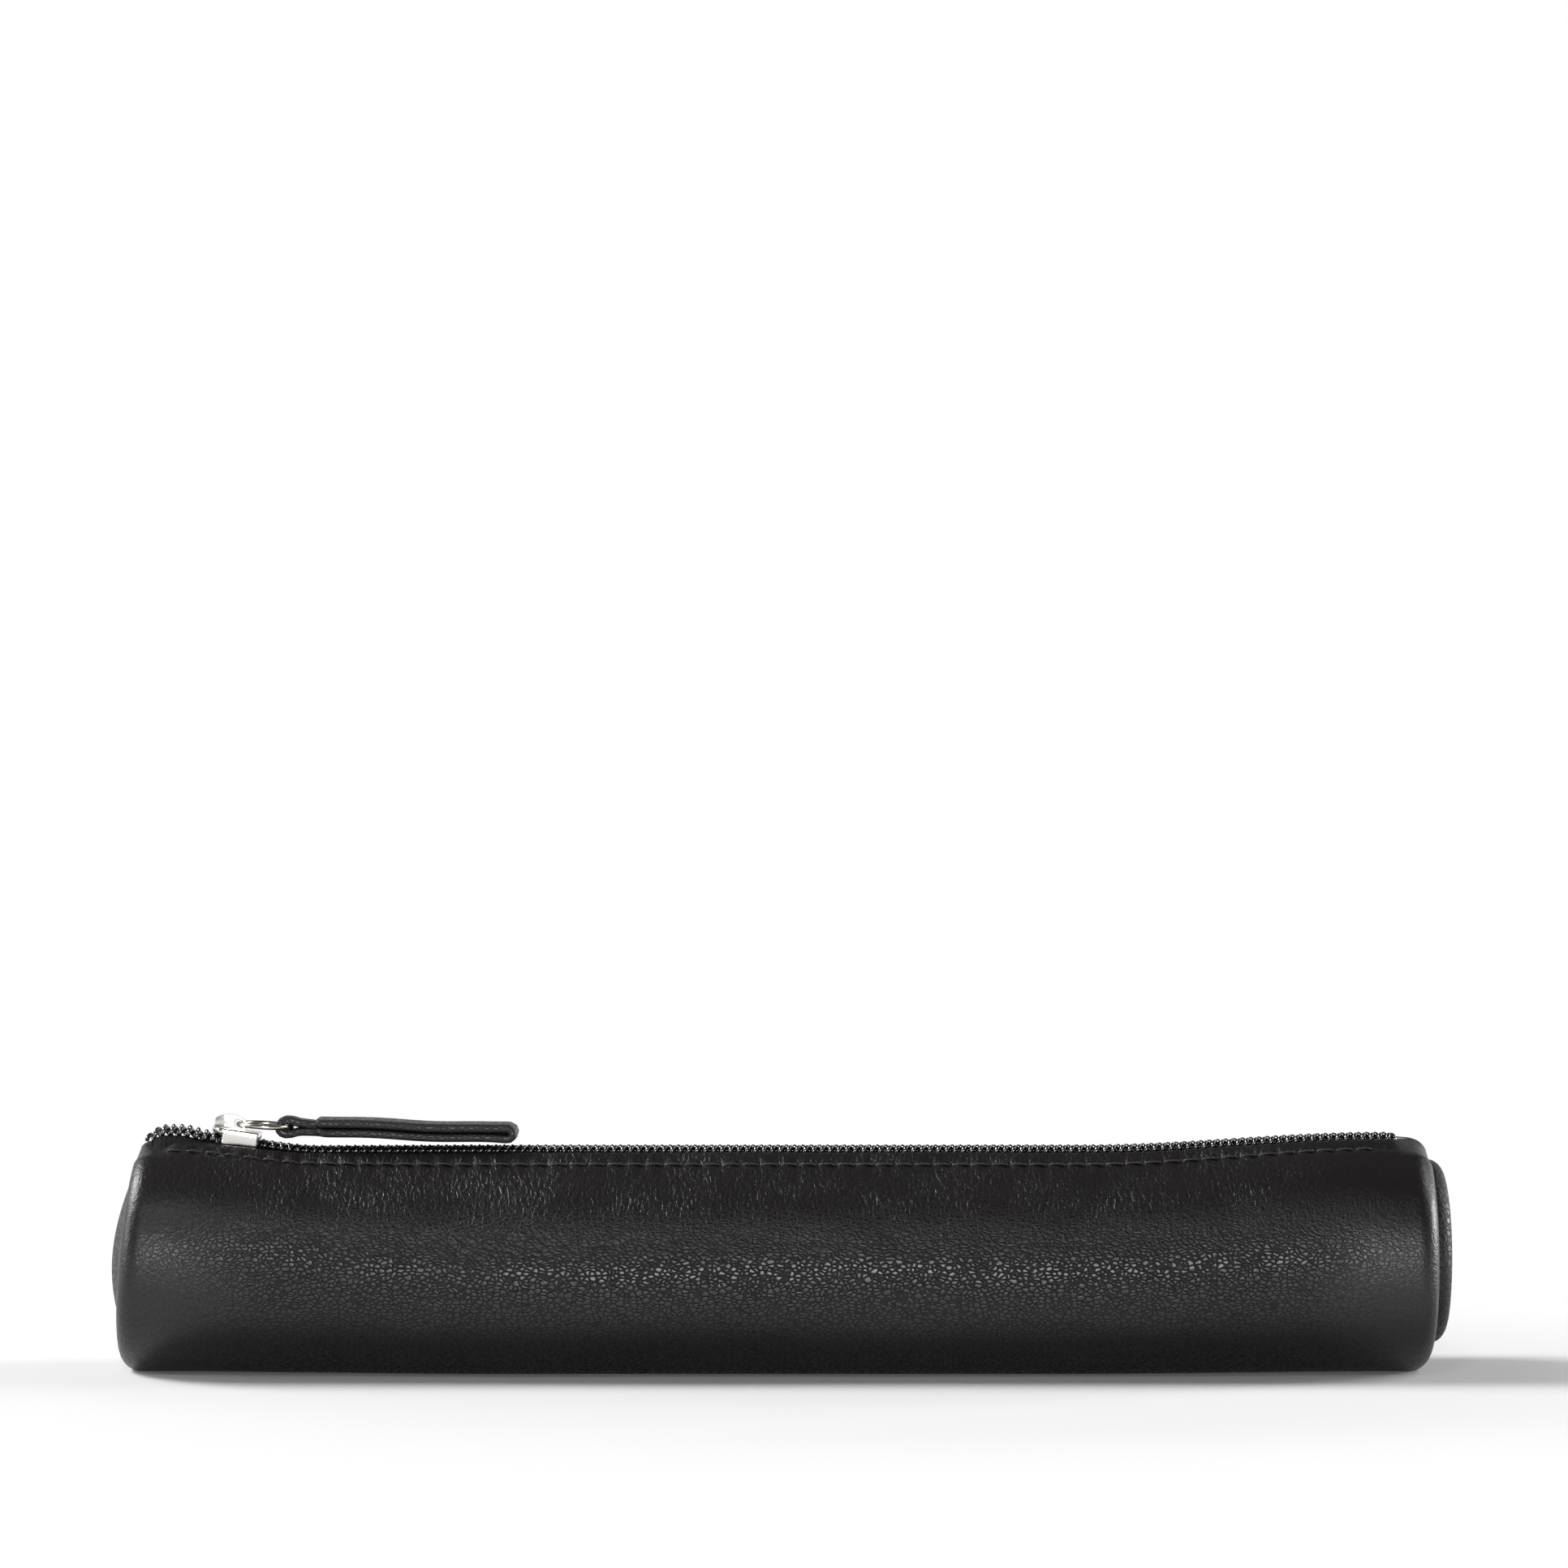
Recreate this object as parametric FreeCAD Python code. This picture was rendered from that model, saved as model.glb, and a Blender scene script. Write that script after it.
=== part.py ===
import FreeCAD, Part

# Zipped leather tube for fountain pens, lying on its flattened underside.
# Frame: millimetres, +X along the tube towards the zip's far end, +Y to the back,
# +Z up, origin under the middle of the tube on the surface that it lies on.
#
# The wrap is one cut of soft leather. It is divided here along the two fold lines
# where the leather bends when the mouth opens: a trough with both round ends, and
# a front and a rear lip. Each lip carries its own zip tape and its own coil.
import math
import os

from FreeCAD import Rotation, Vector

# Driving dimensions of the tube
LENGTH = 199.6          # over the two bulging end discs, before the left one leans
LEATHER = 1.1           # thickness of the wrap and of the discs
DISC_BULGE = 2.7        # how far a disc stands out past the rolled rim
ROLL = 3.0              # outer radius of the rolled rim
HALF_WIDTH_MID = 18.2   # half of the tube's width at mid length
HALF_WIDTH_END = 17.5   # and at the rims
WIDEST_MID = 14.0       # height of the widest place at mid length
WIDEST_END = 17.0       # and at the rims
ROOF_TURN_MID = 54.0    # degrees from the upright side wall to the roof beside the zip
ROOF_TURN_END = 65.0
UNDERSIDE_PRESS = 0.3   # how much of the round underside is pressed flat
NARROWING_FROM = 42.0   # distance from mid length where the section starts to change

# Driving dimensions of the mouth and the zip
MOUTH_HALF = 4.3        # from the zip's middle to the leather's edge
EDGE_HEIGHT = 32.4      # height of the leather's edge where the tube sags
LEFT_RISE = 2.6         # the mouth rises towards each rim
LEFT_RISE_FROM = -68.0
LEFT_RISE_TO = -92.0
RIGHT_RISE = 2.0
RIGHT_RISE_FROM = 46.0
RIGHT_RISE_TO = 90.0
MOUTH_END = 94.2        # half length of the slot that the zip fills
LIP_END = 74.0          # half length of the lips that open
FOLD_HEIGHT = 17.0      # height of the fold line that a lip turns about
FOLD_GAP = 0.1          # room between a lip and the trough
LEFT_LEAN = 5.0         # degrees that the left rim leans in at its top
LEAN_FROM = -62.0
LEAN_PIVOT_HEIGHT = 8.0

# End discs and the turned seam that holds them
SEAM_RADIUS = 13.6
SEAM_HEIGHT = 17.4      # height of the discs' middle
SEAM_ALLOWANCE = 5.0    # width of the edges that lie inside the tube
SEAM_PLAY = 0.05
DISC_SHOULDER_OUT = 1.65    # the dome's shoulder, past the rim
DISC_SHOULDER_IN = 0.65     # and in from the seam
DISC_FLAT = 9.0         # radius of the dome's flat middle
DISC_BACK = 1.5         # depth of the solid at the dome's middle

# Zip: woven tapes and a nylon coil on each
TAPE = 0.5
TAPE_PLAY = 0.1         # room between tape and leather
TAPE_INNER_EDGE = 0.6   # half the gap between the two tapes
TAPE_SHARE = 0.9        # share of the roof that the tape runs under
TAPE_END = 93.2
COIL_PITCH = 1.24
COIL_HEIGHT = 1.75
COIL_PLAY = 0.1         # the coil's seat above the tape
COIL_HALF_WIDTH = 1.95
COIL_SPINE = 0.75       # width of the bends along the coil's outer side
COIL_REACH = 0.5        # how far a loop's head passes the zip's middle
LOOP_ROOT = 0.58
LOOP_HEAD = 0.42
PARTING = 1.3           # how far each coil is pushed out left of the slider
PARTING_FROM = -79.4
PARTING_TO = -83.6

# Slider, a polished casting; u runs along the zip, w up from the tape
SLIDER_X = -81.0
PLATE_UNDER = 2.1
PLATE_TOP = 2.85
FLANGE_UNDER = 0.5
FLANGE_WALL = 0.65
LOWER_PLATE_TOP = -0.7
LOWER_PLATE_UNDER = -1.5
LOWER_PLATE_INSET = 0.35
SLIDER_NOSE = 3.5       # closed end
SLIDER_MOUTH = -3.7     # end where the coils part
NOSE_HALF = 3.0
WAIST_U = 0.8
WAIST_HALF = 3.1
SHOULDER_U = -1.7
SHOULDER_HALF = 3.85
BROW_U = -2.7
BROW_HALF = 3.35
POST_TIP = -0.7
POST_BACK = -3.3
POST_HALF = 0.45
BAIL_WIDTH = 1.8
BAIL_BACK = -3.4
BAIL_FRONT = 1.2
BAIL_TOP = 4.85
BAIL_CORNER = 4.2
BAIL_EYE_U = 0.1
BAIL_EYE_W = 3.65
BAIL_EYE = 0.62

# Pull ring and folded leather pull
RING_RADIUS = 3.95      # middle line of the wire
RING_WIRE = 0.75
RING_FLATS = 8
RING_DIP = 3.5          # degrees that the lying ring dips away from the bail
TAB_WIDTH = 8.0
NECK_WIDTH = 3.4
TAB_LAYER = 1.05
LOOP_HOLE_BEHIND = 1.1  # room in the loop behind the ring's wire
LOOP_HOLE_RADIUS = 0.75
SHOULDER_FROM_RING = 4.3
TAB_FROM_RING = 32.4    # middle of the end fold
FOLD_RADIUS = 1.45
FOLD_OPEN = 2.4         # length of the gap inside the end fold
TAB_DROP = 0.85         # the end fold's middle below the ring's

BIG = 400.0


def smooth_step(start, end, x):
    """0 at start, 1 at end, level at both."""
    t = min(max((x - start) / (end - start), 0.0), 1.0)
    return t * t * (3.0 - 2.0 * t)


RIM_X = LENGTH / 2 - DISC_BULGE
BODY_X = RIM_X - ROLL


def edge_height(x):
    """Height of the leather's edge beside the zip."""
    left = LEFT_RISE * smooth_step(LEFT_RISE_FROM, LEFT_RISE_TO, x)
    right = RIGHT_RISE * smooth_step(RIGHT_RISE_FROM, RIGHT_RISE_TO, x)
    return EDGE_HEIGHT + left + right


def lean(x):
    """Degrees that a cross-section leans in at its top."""
    return LEFT_LEAN * smooth_step(LEAN_FROM, -BODY_X, x)


class Outline:
    """Half of a cross-section: floor, round side wall, roof and edge at the zip."""

    def __init__(self, x):
        end = smooth_step(NARROWING_FROM, BODY_X, abs(x))
        half_width = HALF_WIDTH_MID + (HALF_WIDTH_END - HALF_WIDTH_MID) * end
        self.widest = WIDEST_MID + (WIDEST_END - WIDEST_MID) * end
        turn = math.radians(ROOF_TURN_MID + (ROOF_TURN_END - ROOF_TURN_MID) * end)
        self.turn = turn
        self.cos, self.sin = math.cos(turn), math.sin(turn)
        self.edge = (MOUTH_HALF, edge_height(x))
        across = half_width - MOUTH_HALF
        up = self.edge[1] - self.widest
        # the upper wall's radius and the roof's length follow from where the edge lies
        self.upper = (up * self.sin - across * self.cos) / (1.0 - self.cos)
        self.roof = (across - self.upper * (1.0 - self.cos)) / self.sin
        self.lower = self.widest + UNDERSIDE_PRESS
        self.flat = half_width - self.lower
        self.centre = half_width - self.upper

    def inward(self, point, depth):
        """A point of the roof, moved into the tube by depth."""
        return (point[0] - depth * self.cos, point[1] - depth * self.sin)

    def down_roof(self, point, run):
        """A point of the roof, moved away from the zip by run."""
        return (point[0] + run * self.sin, point[1] - run * self.cos)

    def lower_wall(self, inset, degrees):
        a = math.radians(degrees)
        r = self.lower - inset
        return (self.flat + r * math.cos(a), self.widest + r * math.sin(a))

    def upper_wall(self, inset, share):
        a = self.turn * share
        r = self.upper - inset
        return (self.centre + r * math.cos(a), self.widest + r * math.sin(a))


def at(x, point, side):
    """A cross-section's point on the front (side -1) or the rear (side 1)."""
    return Vector(x, side * point[0], point[1])


def leaned(shape, x):
    """A cross-section at x, leaned as the tube leans there."""
    turned = shape.copy()
    turned.rotate(Vector(x, 0, LEAN_PIVOT_HEIGHT), Vector(0, 1, 0), lean(x))
    return turned


def tube_section(x, inset, station=None):
    """Closed cross-section of the tube, drawn in by inset.

    station is where the outline is taken from, if that isn't x itself.
    """
    station = x if station is None else station
    outline = Outline(station)
    edge = outline.inward(outline.edge, inset)
    edges = []
    for side in (1, -1):
        floor = at(x, outline.lower_wall(inset, -90), side)
        belly = at(x, outline.lower_wall(inset, -45), side)
        widest = at(x, outline.lower_wall(inset, 0), side)
        shoulder = at(x, outline.upper_wall(inset, 0.5), side)
        roof = at(x, outline.upper_wall(inset, 1.0), side)
        half = [
            Part.Arc(floor, belly, widest).toShape(),
            Part.Arc(widest, shoulder, roof).toShape(),
            Part.LineSegment(roof, at(x, edge, side)).toShape(),
        ]
        edges += half if side == 1 else half[::-1]
        if side == 1:
            edges.append(Part.LineSegment(at(x, edge, 1), at(x, edge, -1)).toShape())
    bottom = outline.lower_wall(inset, -90)
    edges.append(Part.LineSegment(at(x, bottom, -1), at(x, bottom, 1)).toShape())
    return leaned(Part.Wire(Part.__sortEdges__(edges)), station)


# cross-sections towards each rim, none in the middle stretch, where the shape stays the same
STATION_SHARES = (0.5, 0.64, 0.75, 0.86, 0.93, 1.0)
STATIONS = [-s * BODY_X for s in STATION_SHARES[::-1]] + [s * BODY_X for s in STATION_SHARES]
ROLL_STEPS = 3


def tube_solid(inset):
    """Solid tube, drawn in by inset, with rounded ends."""
    middle = Part.makeLoft([tube_section(x, inset) for x in STATIONS], True, True)
    radius = ROLL - inset
    pieces = []
    for end in (-1, 1):
        sections = []
        for step in range(ROLL_STEPS + 1):
            a = math.radians(90.0 * step / ROLL_STEPS)
            x = end * (BODY_X + radius * math.sin(a))
            sections.append(tube_section(x, inset + radius * (1 - math.cos(a)), end * BODY_X))
        pieces.append(Part.makeLoft(sections, True, True))
    return middle.fuse(pieces).removeSplitter()


def block(x0, x1, y0, y1, z0, z1):
    return Part.makeBox(x1 - x0, y1 - y0, z1 - z0, Vector(x0, y0, z0))


def on_end(shape, end):
    """A shape drawn about the X axis, moved to a disc's middle and leaned with the rim."""
    moved = shape.copy()
    moved.translate(Vector(0, 0, SEAM_HEIGHT))
    return leaned(moved, -BODY_X) if end < 0 else moved


def seam_tube(end, inner, outer, x_from, x_to):
    """Round band about a disc's axis, between two distances from mid length."""
    band = []
    for radius in (outer, inner):
        start = Vector(end * x_from, 0, 0)
        band.append(Part.makeCylinder(radius, x_to - x_from, start, Vector(end, 0, 0)))
    return on_end(band[0].cut(band[1]), end)


def end_disc(end):
    """Domed disc with its seam allowance turned into the tube."""
    face = LENGTH / 2
    back = face - DISC_BACK
    rim = SEAM_RADIUS - SEAM_PLAY
    inner = rim - LEATHER
    inside = RIM_X - SEAM_ALLOWANCE
    outline = [
        (inside, rim),
        (RIM_X, rim),
        (RIM_X + DISC_SHOULDER_OUT, rim - DISC_SHOULDER_IN),
        (face, DISC_FLAT),
        (face, 0.0),
        (back, 0.0),
        (back, inner - (back - RIM_X)),
        (RIM_X, inner),
        (inside, inner),
    ]
    profile = Part.makePolygon([Vector(end * x, 0, r) for x, r in outline + outline[:1]])
    solid = Part.Face(profile).revolve(Vector(0, 0, 0), Vector(1, 0, 0), 360)
    return on_end(solid, end)


def wrap_shell():
    """The whole leather wrap: tube wall, rolled rims and turned-in seam edges."""
    shell = tube_solid(0.0).cut(tube_solid(LEATHER))
    for end in (-1, 1):
        inside = RIM_X - SEAM_ALLOWANCE
        allowance = seam_tube(end, SEAM_RADIUS, SEAM_RADIUS + LEATHER, inside, RIM_X - LEATHER / 2)
        start = Vector(end * inside, 0, 0)
        hole = Part.makeCylinder(SEAM_RADIUS, BIG, start, Vector(end, 0, 0))
        shell = shell.fuse(allowance).cut(on_end(hole, end))
    slot = block(-MOUTH_END, MOUTH_END, -MOUTH_HALF, MOUTH_HALF, 1.5 * FOLD_HEIGHT, BIG)
    floor = block(-BIG, BIG, -BIG, BIG, -BIG, 0)
    return shell.cut(slot).cut(floor).removeSplitter()


def divide_wrap(shell):
    """The trough and the two lips."""
    cut = block(-LIP_END, LIP_END, -BIG, BIG, FOLD_HEIGHT, BIG)
    trough = shell.cut(cut)
    inner_end = LIP_END - FOLD_GAP
    lips = []
    for y0, y1 in ((-BIG, 0), (0, BIG)):
        lips.append(shell.common(block(-inner_end, inner_end, y0, y1, FOLD_HEIGHT + FOLD_GAP, BIG)))
    return trough, lips[0], lips[1]


def tape_corner(outline):
    """Where the tape's upper face bends under the leather's edge."""
    return outline.inward(outline.edge, LEATHER + TAPE_PLAY)


def zip_line():
    """Middle of the tapes' upper faces, from rim to rim."""
    line = []
    for x in STATIONS:
        a = math.radians(lean(x))
        rise = tape_corner(Outline(x))[1] - LEAN_PIVOT_HEIGHT
        line.append(Vector(x + rise * math.sin(a), 0, LEAN_PIVOT_HEIGHT + rise * math.cos(a)))
    return line


def zip_height(x):
    """Height of the tapes' upper face at a place along the zip."""
    line = zip_line()
    for a, b in zip(line, line[1:]):
        if x <= b.x or b is line[-1]:
            return a.z + (b.z - a.z) * (x - a.x) / (b.x - a.x)


def tape_section(x, side):
    """Cross-section of one tape: level under the coil, then down under the roof."""
    outline = Outline(x)
    corner = tape_corner(outline)
    run = TAPE_SHARE * outline.roof
    mitre = TAPE * (1.0 - outline.sin) / outline.cos
    under = outline.inward(corner, TAPE)
    points = [
        (TAPE_INNER_EDGE, corner[1]),
        corner,
        outline.down_roof(corner, run),
        outline.down_roof(under, run),
        outline.down_roof(under, mitre),
        (TAPE_INNER_EDGE, corner[1] - TAPE),
    ]
    return leaned(Part.makePolygon([at(x, p, side) for p in points + points[:1]]), x)


def tape_solid(side):
    whole = Part.makeLoft([tape_section(x, side) for x in STATIONS], True, True)
    return whole.common(block(-TAPE_END, TAPE_END, -BIG, BIG, 0, BIG))


def parting(x):
    """How far each coil is pushed off the zip's middle, left of the slider."""
    return PARTING * smooth_step(PARTING_FROM, PARTING_TO, x)


def coil_comb(side, x0, x1):
    """Plan of one coil as a comb of loops, between two places along the zip."""
    shift = 0.25 * COIL_PITCH * side
    first = math.ceil((x0 + LOOP_ROOT - shift) / COIL_PITCH)
    last = math.floor((x1 - LOOP_ROOT - shift) / COIL_PITCH)
    loops = [i * COIL_PITCH + shift for i in range(first, last + 1)]
    outer = [(x, COIL_HALF_WIDTH + parting(x)) for x in [x0] + loops[::2] + [x1]]
    inner = []
    for x in loops:
        root = COIL_HALF_WIDTH - COIL_SPINE + parting(x)
        head = parting(x) - COIL_REACH
        inner += [
            (x - LOOP_ROOT / 2, root),
            (x - LOOP_HEAD / 2, head),
            (x + LOOP_HEAD / 2, head),
            (x + LOOP_ROOT / 2, root),
        ]
    ends = [(x, COIL_HALF_WIDTH - COIL_SPINE + parting(x)) for x in (x0, x1)]
    points = outer + ends[1:] + inner[::-1] + ends[:1]
    plan = Part.makePolygon([Vector(x, side * y, 0) for x, y in points + points[:1]])
    return Part.Face(plan).extrude(Vector(0, 0, 2 * EDGE_HEIGHT))


def coil_layer(x0, x1):
    """The bent layer that the coils fill, following the tapes."""
    bends = [p.x for p in zip_line() if x0 < p.x < x1]
    lower = [Vector(x, -3 * MOUTH_HALF, zip_height(x) + COIL_PLAY) for x in [x0] + bends + [x1]]
    upper = [p + Vector(0, 0, COIL_HEIGHT) for p in lower[::-1]]
    outline = Part.makePolygon(lower + upper + lower[:1])
    return Part.Face(outline).extrude(Vector(0, 6 * MOUTH_HALF, 0))


def coil_solid(side, x0, x1):
    return coil_comb(side, x0, x1).common(coil_layer(x0, x1))


def on_zip(shape):
    """A shape in the slider's own u, v, w, seated on the sloping zip."""
    fall = zip_height(SLIDER_X + SLIDER_MOUTH) - zip_height(SLIDER_X + SLIDER_NOSE)
    slope = math.degrees(math.atan2(fall, SLIDER_NOSE - SLIDER_MOUTH))
    placed = shape.copy()
    turn = Rotation(Vector(0, 1, 0), slope)
    seat = Vector(SLIDER_X, 0, zip_height(SLIDER_X))
    placed.Placement = FreeCAD.Placement(seat, turn)
    return placed


def slider_plan(inset):
    """Outline of a slider plate: narrow closed end, shoulders and round mouth."""
    half = [
        (SLIDER_NOSE - inset, NOSE_HALF - inset),
        (WAIST_U, WAIST_HALF - inset),
        (SHOULDER_U, SHOULDER_HALF - inset),
        (BROW_U, BROW_HALF - inset),
    ]
    near = [Vector(u, -v, 0) for u, v in half]
    far = [Vector(u, v, 0) for u, v in half]
    edges = []
    for row in (near, far):
        for a, b in zip(row, row[1:]):
            edges.append(Part.LineSegment(a, b).toShape())
    edges.append(Part.LineSegment(near[0], far[0]).toShape())
    edges.append(Part.Arc(near[-1], Vector(SLIDER_MOUTH + inset, 0, 0), far[-1]).toShape())
    return Part.Face(Part.Wire(Part.__sortEdges__(edges)))


def plate(inset, w0, w1):
    face = slider_plan(inset)
    face.translate(Vector(0, 0, w0))
    return face.extrude(Vector(0, 0, w1 - w0))


def slider_flange(side):
    """Side wall under the upper plate, bent out towards the shoulder."""
    line = [(SLIDER_NOSE, NOSE_HALF), (WAIST_U, WAIST_HALF), (SHOULDER_U, SHOULDER_HALF)]
    points = line + [(u, v - FLANGE_WALL) for u, v in line[::-1]]
    wall = Part.makePolygon([Vector(u, side * v, FLANGE_UNDER) for u, v in points + points[:1]])
    return Part.Face(wall).extrude(Vector(0, 0, PLATE_UNDER - FLANGE_UNDER))


def slider_post():
    """Wedge between the plates that drives the coils apart."""
    tip = Vector(POST_TIP, 0, LOWER_PLATE_TOP)
    near = Vector(POST_BACK + POST_HALF, -POST_HALF, LOWER_PLATE_TOP)
    back = Vector(POST_BACK, 0, LOWER_PLATE_TOP)
    far = Vector(POST_BACK + POST_HALF, POST_HALF, LOWER_PLATE_TOP)
    edges = [
        Part.LineSegment(tip, near).toShape(),
        Part.Arc(near, back, far).toShape(),
        Part.LineSegment(far, tip).toShape(),
    ]
    face = Part.Face(Part.Wire(edges))
    return face.extrude(Vector(0, 0, PLATE_UNDER - LOWER_PLATE_TOP))


def slider_bail():
    """Humped bridge on the upper plate, with the eye that holds the ring."""
    def v(u, w):
        return Vector(u, -BAIL_WIDTH / 2, w)

    crest = (BAIL_BACK + BAIL_FRONT) / 2
    edges = [
        Part.LineSegment(v(BAIL_BACK, PLATE_TOP), v(BAIL_BACK, BAIL_CORNER)),
        Part.Arc(v(BAIL_BACK, BAIL_CORNER), v(crest, BAIL_TOP), v(BAIL_FRONT, BAIL_CORNER)),
        Part.LineSegment(v(BAIL_FRONT, BAIL_CORNER), v(BAIL_FRONT, PLATE_TOP)),
        Part.LineSegment(v(BAIL_FRONT, PLATE_TOP), v(BAIL_BACK, PLATE_TOP)),
    ]
    face = Part.Face(Part.Wire([e.toShape() for e in edges]))
    hump = face.extrude(Vector(0, BAIL_WIDTH, 0))
    eye = Part.makeCylinder(BAIL_EYE, 2 * BAIL_WIDTH, v(BAIL_EYE_U, BAIL_EYE_W), Vector(0, 1, 0))
    eye.translate(Vector(0, -BAIL_WIDTH / 2, 0))
    return hump.cut(eye)


def slider_body():
    upper = plate(0.0, PLATE_UNDER, PLATE_TOP)
    lower = plate(LOWER_PLATE_INSET, LOWER_PLATE_UNDER, LOWER_PLATE_TOP)
    walls = [slider_flange(-1), slider_flange(1)]
    solid = upper.fuse([lower, slider_post(), slider_bail()] + walls)
    return on_zip(solid.removeSplitter())


def ring_eye():
    """Middle of the bail's eye, where the ring turns."""
    return on_zip(Part.Vertex(BAIL_EYE_U, 0, BAIL_EYE_W)).Point


def ring_far():
    """Middle of the ring's wire inside the pull's loop, where the pull turns."""
    dip = math.radians(RING_DIP)
    reach = Vector(math.cos(dip), 0, -math.sin(dip)) * (2 * RING_RADIUS)
    return ring_eye() + reach


def pull_ring():
    """Ring of round wire, drawn with a few flats, lying through the bail's eye."""
    middle = (ring_eye() + ring_far()) * 0.5
    section = []
    for step in range(RING_FLATS + 1):
        a = 2 * math.pi * step / RING_FLATS
        radius = RING_WIRE / 2
        section.append(Vector(RING_RADIUS + radius * math.cos(a), 0, radius * math.sin(a)))
    ring = Part.Face(Part.makePolygon(section)).revolve(Vector(0, 0, 0), Vector(0, 0, 1), 360)
    ring.Placement = FreeCAD.Placement(middle, Rotation(Vector(0, 1, 0), RING_DIP))
    return ring


def slab_along(points, width):
    """Closed outline in the X, Z plane, given as edges, made a slab of that width."""
    face = Part.Face(Part.Wire(Part.__sortEdges__([p.toShape() for p in points])))
    face.translate(Vector(0, -width / 2, 0))
    return face.extrude(Vector(0, width, 0))


def pull_tab():
    """Strip of leather, folded at its end and looped through the ring."""
    ring = ring_far()
    outer = LOOP_HOLE_RADIUS + TAB_LAYER
    behind = ring.x - LOOP_HOLE_BEHIND
    shoulder = Vector(ring.x + SHOULDER_FROM_RING, 0, ring.z)
    fold = Vector(ring.x + TAB_FROM_RING, 0, ring.z - TAB_DROP)

    def p(x, z):
        return Vector(x, 0, z)

    # loop: two round ends about the ring's wire, closing to the neck
    loop = [
        Part.Arc(p(behind, ring.z + outer), p(behind - outer, ring.z), p(behind, ring.z - outer)),
        Part.LineSegment(p(behind, ring.z - outer), p(ring.x, ring.z - outer)),
        Part.LineSegment(p(ring.x, ring.z - outer), p(shoulder.x, shoulder.z - TAB_LAYER)),
        Part.LineSegment(p(shoulder.x, shoulder.z - TAB_LAYER), p(shoulder.x, shoulder.z + TAB_LAYER)),
        Part.LineSegment(p(shoulder.x, shoulder.z + TAB_LAYER), p(ring.x, ring.z + outer)),
        Part.LineSegment(p(ring.x, ring.z + outer), p(behind, ring.z + outer)),
    ]
    low, high = ring.z - LOOP_HOLE_RADIUS, ring.z + LOOP_HOLE_RADIUS
    hole = [
        Part.Arc(p(behind, high), p(behind - LOOP_HOLE_RADIUS, ring.z), p(behind, low)),
        Part.LineSegment(p(behind, low), p(ring.x, low)),
        Part.Arc(p(ring.x, low), p(ring.x + LOOP_HOLE_RADIUS, ring.z), p(ring.x, high)),
        Part.LineSegment(p(ring.x, high), p(behind, high)),
    ]
    neck = slab_along(loop, NECK_WIDTH).cut(slab_along(hole, 2 * NECK_WIDTH))
    # two layers from the shoulder to the end fold, which stands open a little
    start_low, start_high = shoulder.z - TAB_LAYER, shoulder.z + TAB_LAYER
    strip = [
        Part.LineSegment(p(shoulder.x, start_high), p(fold.x, fold.z + FOLD_RADIUS)),
        Part.Arc(
            p(fold.x, fold.z + FOLD_RADIUS),
            p(fold.x + FOLD_RADIUS, fold.z),
            p(fold.x, fold.z - FOLD_RADIUS),
        ),
        Part.LineSegment(p(fold.x, fold.z - FOLD_RADIUS), p(shoulder.x, start_low)),
        Part.LineSegment(p(shoulder.x, start_low), p(shoulder.x, start_high)),
    ]
    gap = FOLD_RADIUS - TAB_LAYER
    closes = fold.x - FOLD_OPEN
    eye = [
        Part.LineSegment(p(closes, fold.z), p(fold.x, fold.z + gap)),
        Part.Arc(p(fold.x, fold.z + gap), p(fold.x + gap, fold.z), p(fold.x, fold.z - gap)),
        Part.LineSegment(p(fold.x, fold.z - gap), p(closes, fold.z)),
    ]
    body = slab_along(strip, TAB_WIDTH).cut(slab_along(eye, 2 * TAB_WIDTH))
    return body.fuse(neck).removeSplitter()


def pieces():
    trough, front_lip, rear_lip = divide_wrap(wrap_shell())
    made = {
        "body_leather": trough,
        "front_lip_leather": front_lip,
        "rear_lip_leather": rear_lip,
        "left_end_disc": end_disc(-1),
        "right_end_disc": end_disc(1),
        "slider_body": slider_body(),
        "pull_ring": pull_ring(),
        "pull_tab": pull_tab(),
    }
    inner = LIP_END - FOLD_GAP
    ends = ((-TAPE_END, -LIP_END), (LIP_END, TAPE_END))
    for name, side in (("front", -1), ("rear", 1)):
        tape = tape_solid(side)
        made[name + "_tape"] = tape.common(block(-inner, inner, -BIG, BIG, 0, BIG))
        made[name + "_tape_ends"] = tape.cut(block(-LIP_END, LIP_END, -BIG, BIG, 0, BIG))
        made[name + "_coil"] = coil_solid(side, -inner, inner)
        made[name + "_coil_ends"] = Part.makeCompound([coil_solid(side, a, b) for a, b in ends])
    return made


def main():
    os.makedirs("parts", exist_ok=True)
    for name, shape in pieces().items():
        solids = shape.Solids
        shape = solids[0] if len(solids) == 1 else Part.makeCompound(solids)
        shape.exportStep(os.path.join("parts", name + ".step"))
        print(name, len(solids), "solids", round(shape.Volume, 2), "mm3", shape.isValid())
    print("ring turns about", ring_eye(), "pull turns about", ring_far())


main()
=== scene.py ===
import math

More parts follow.
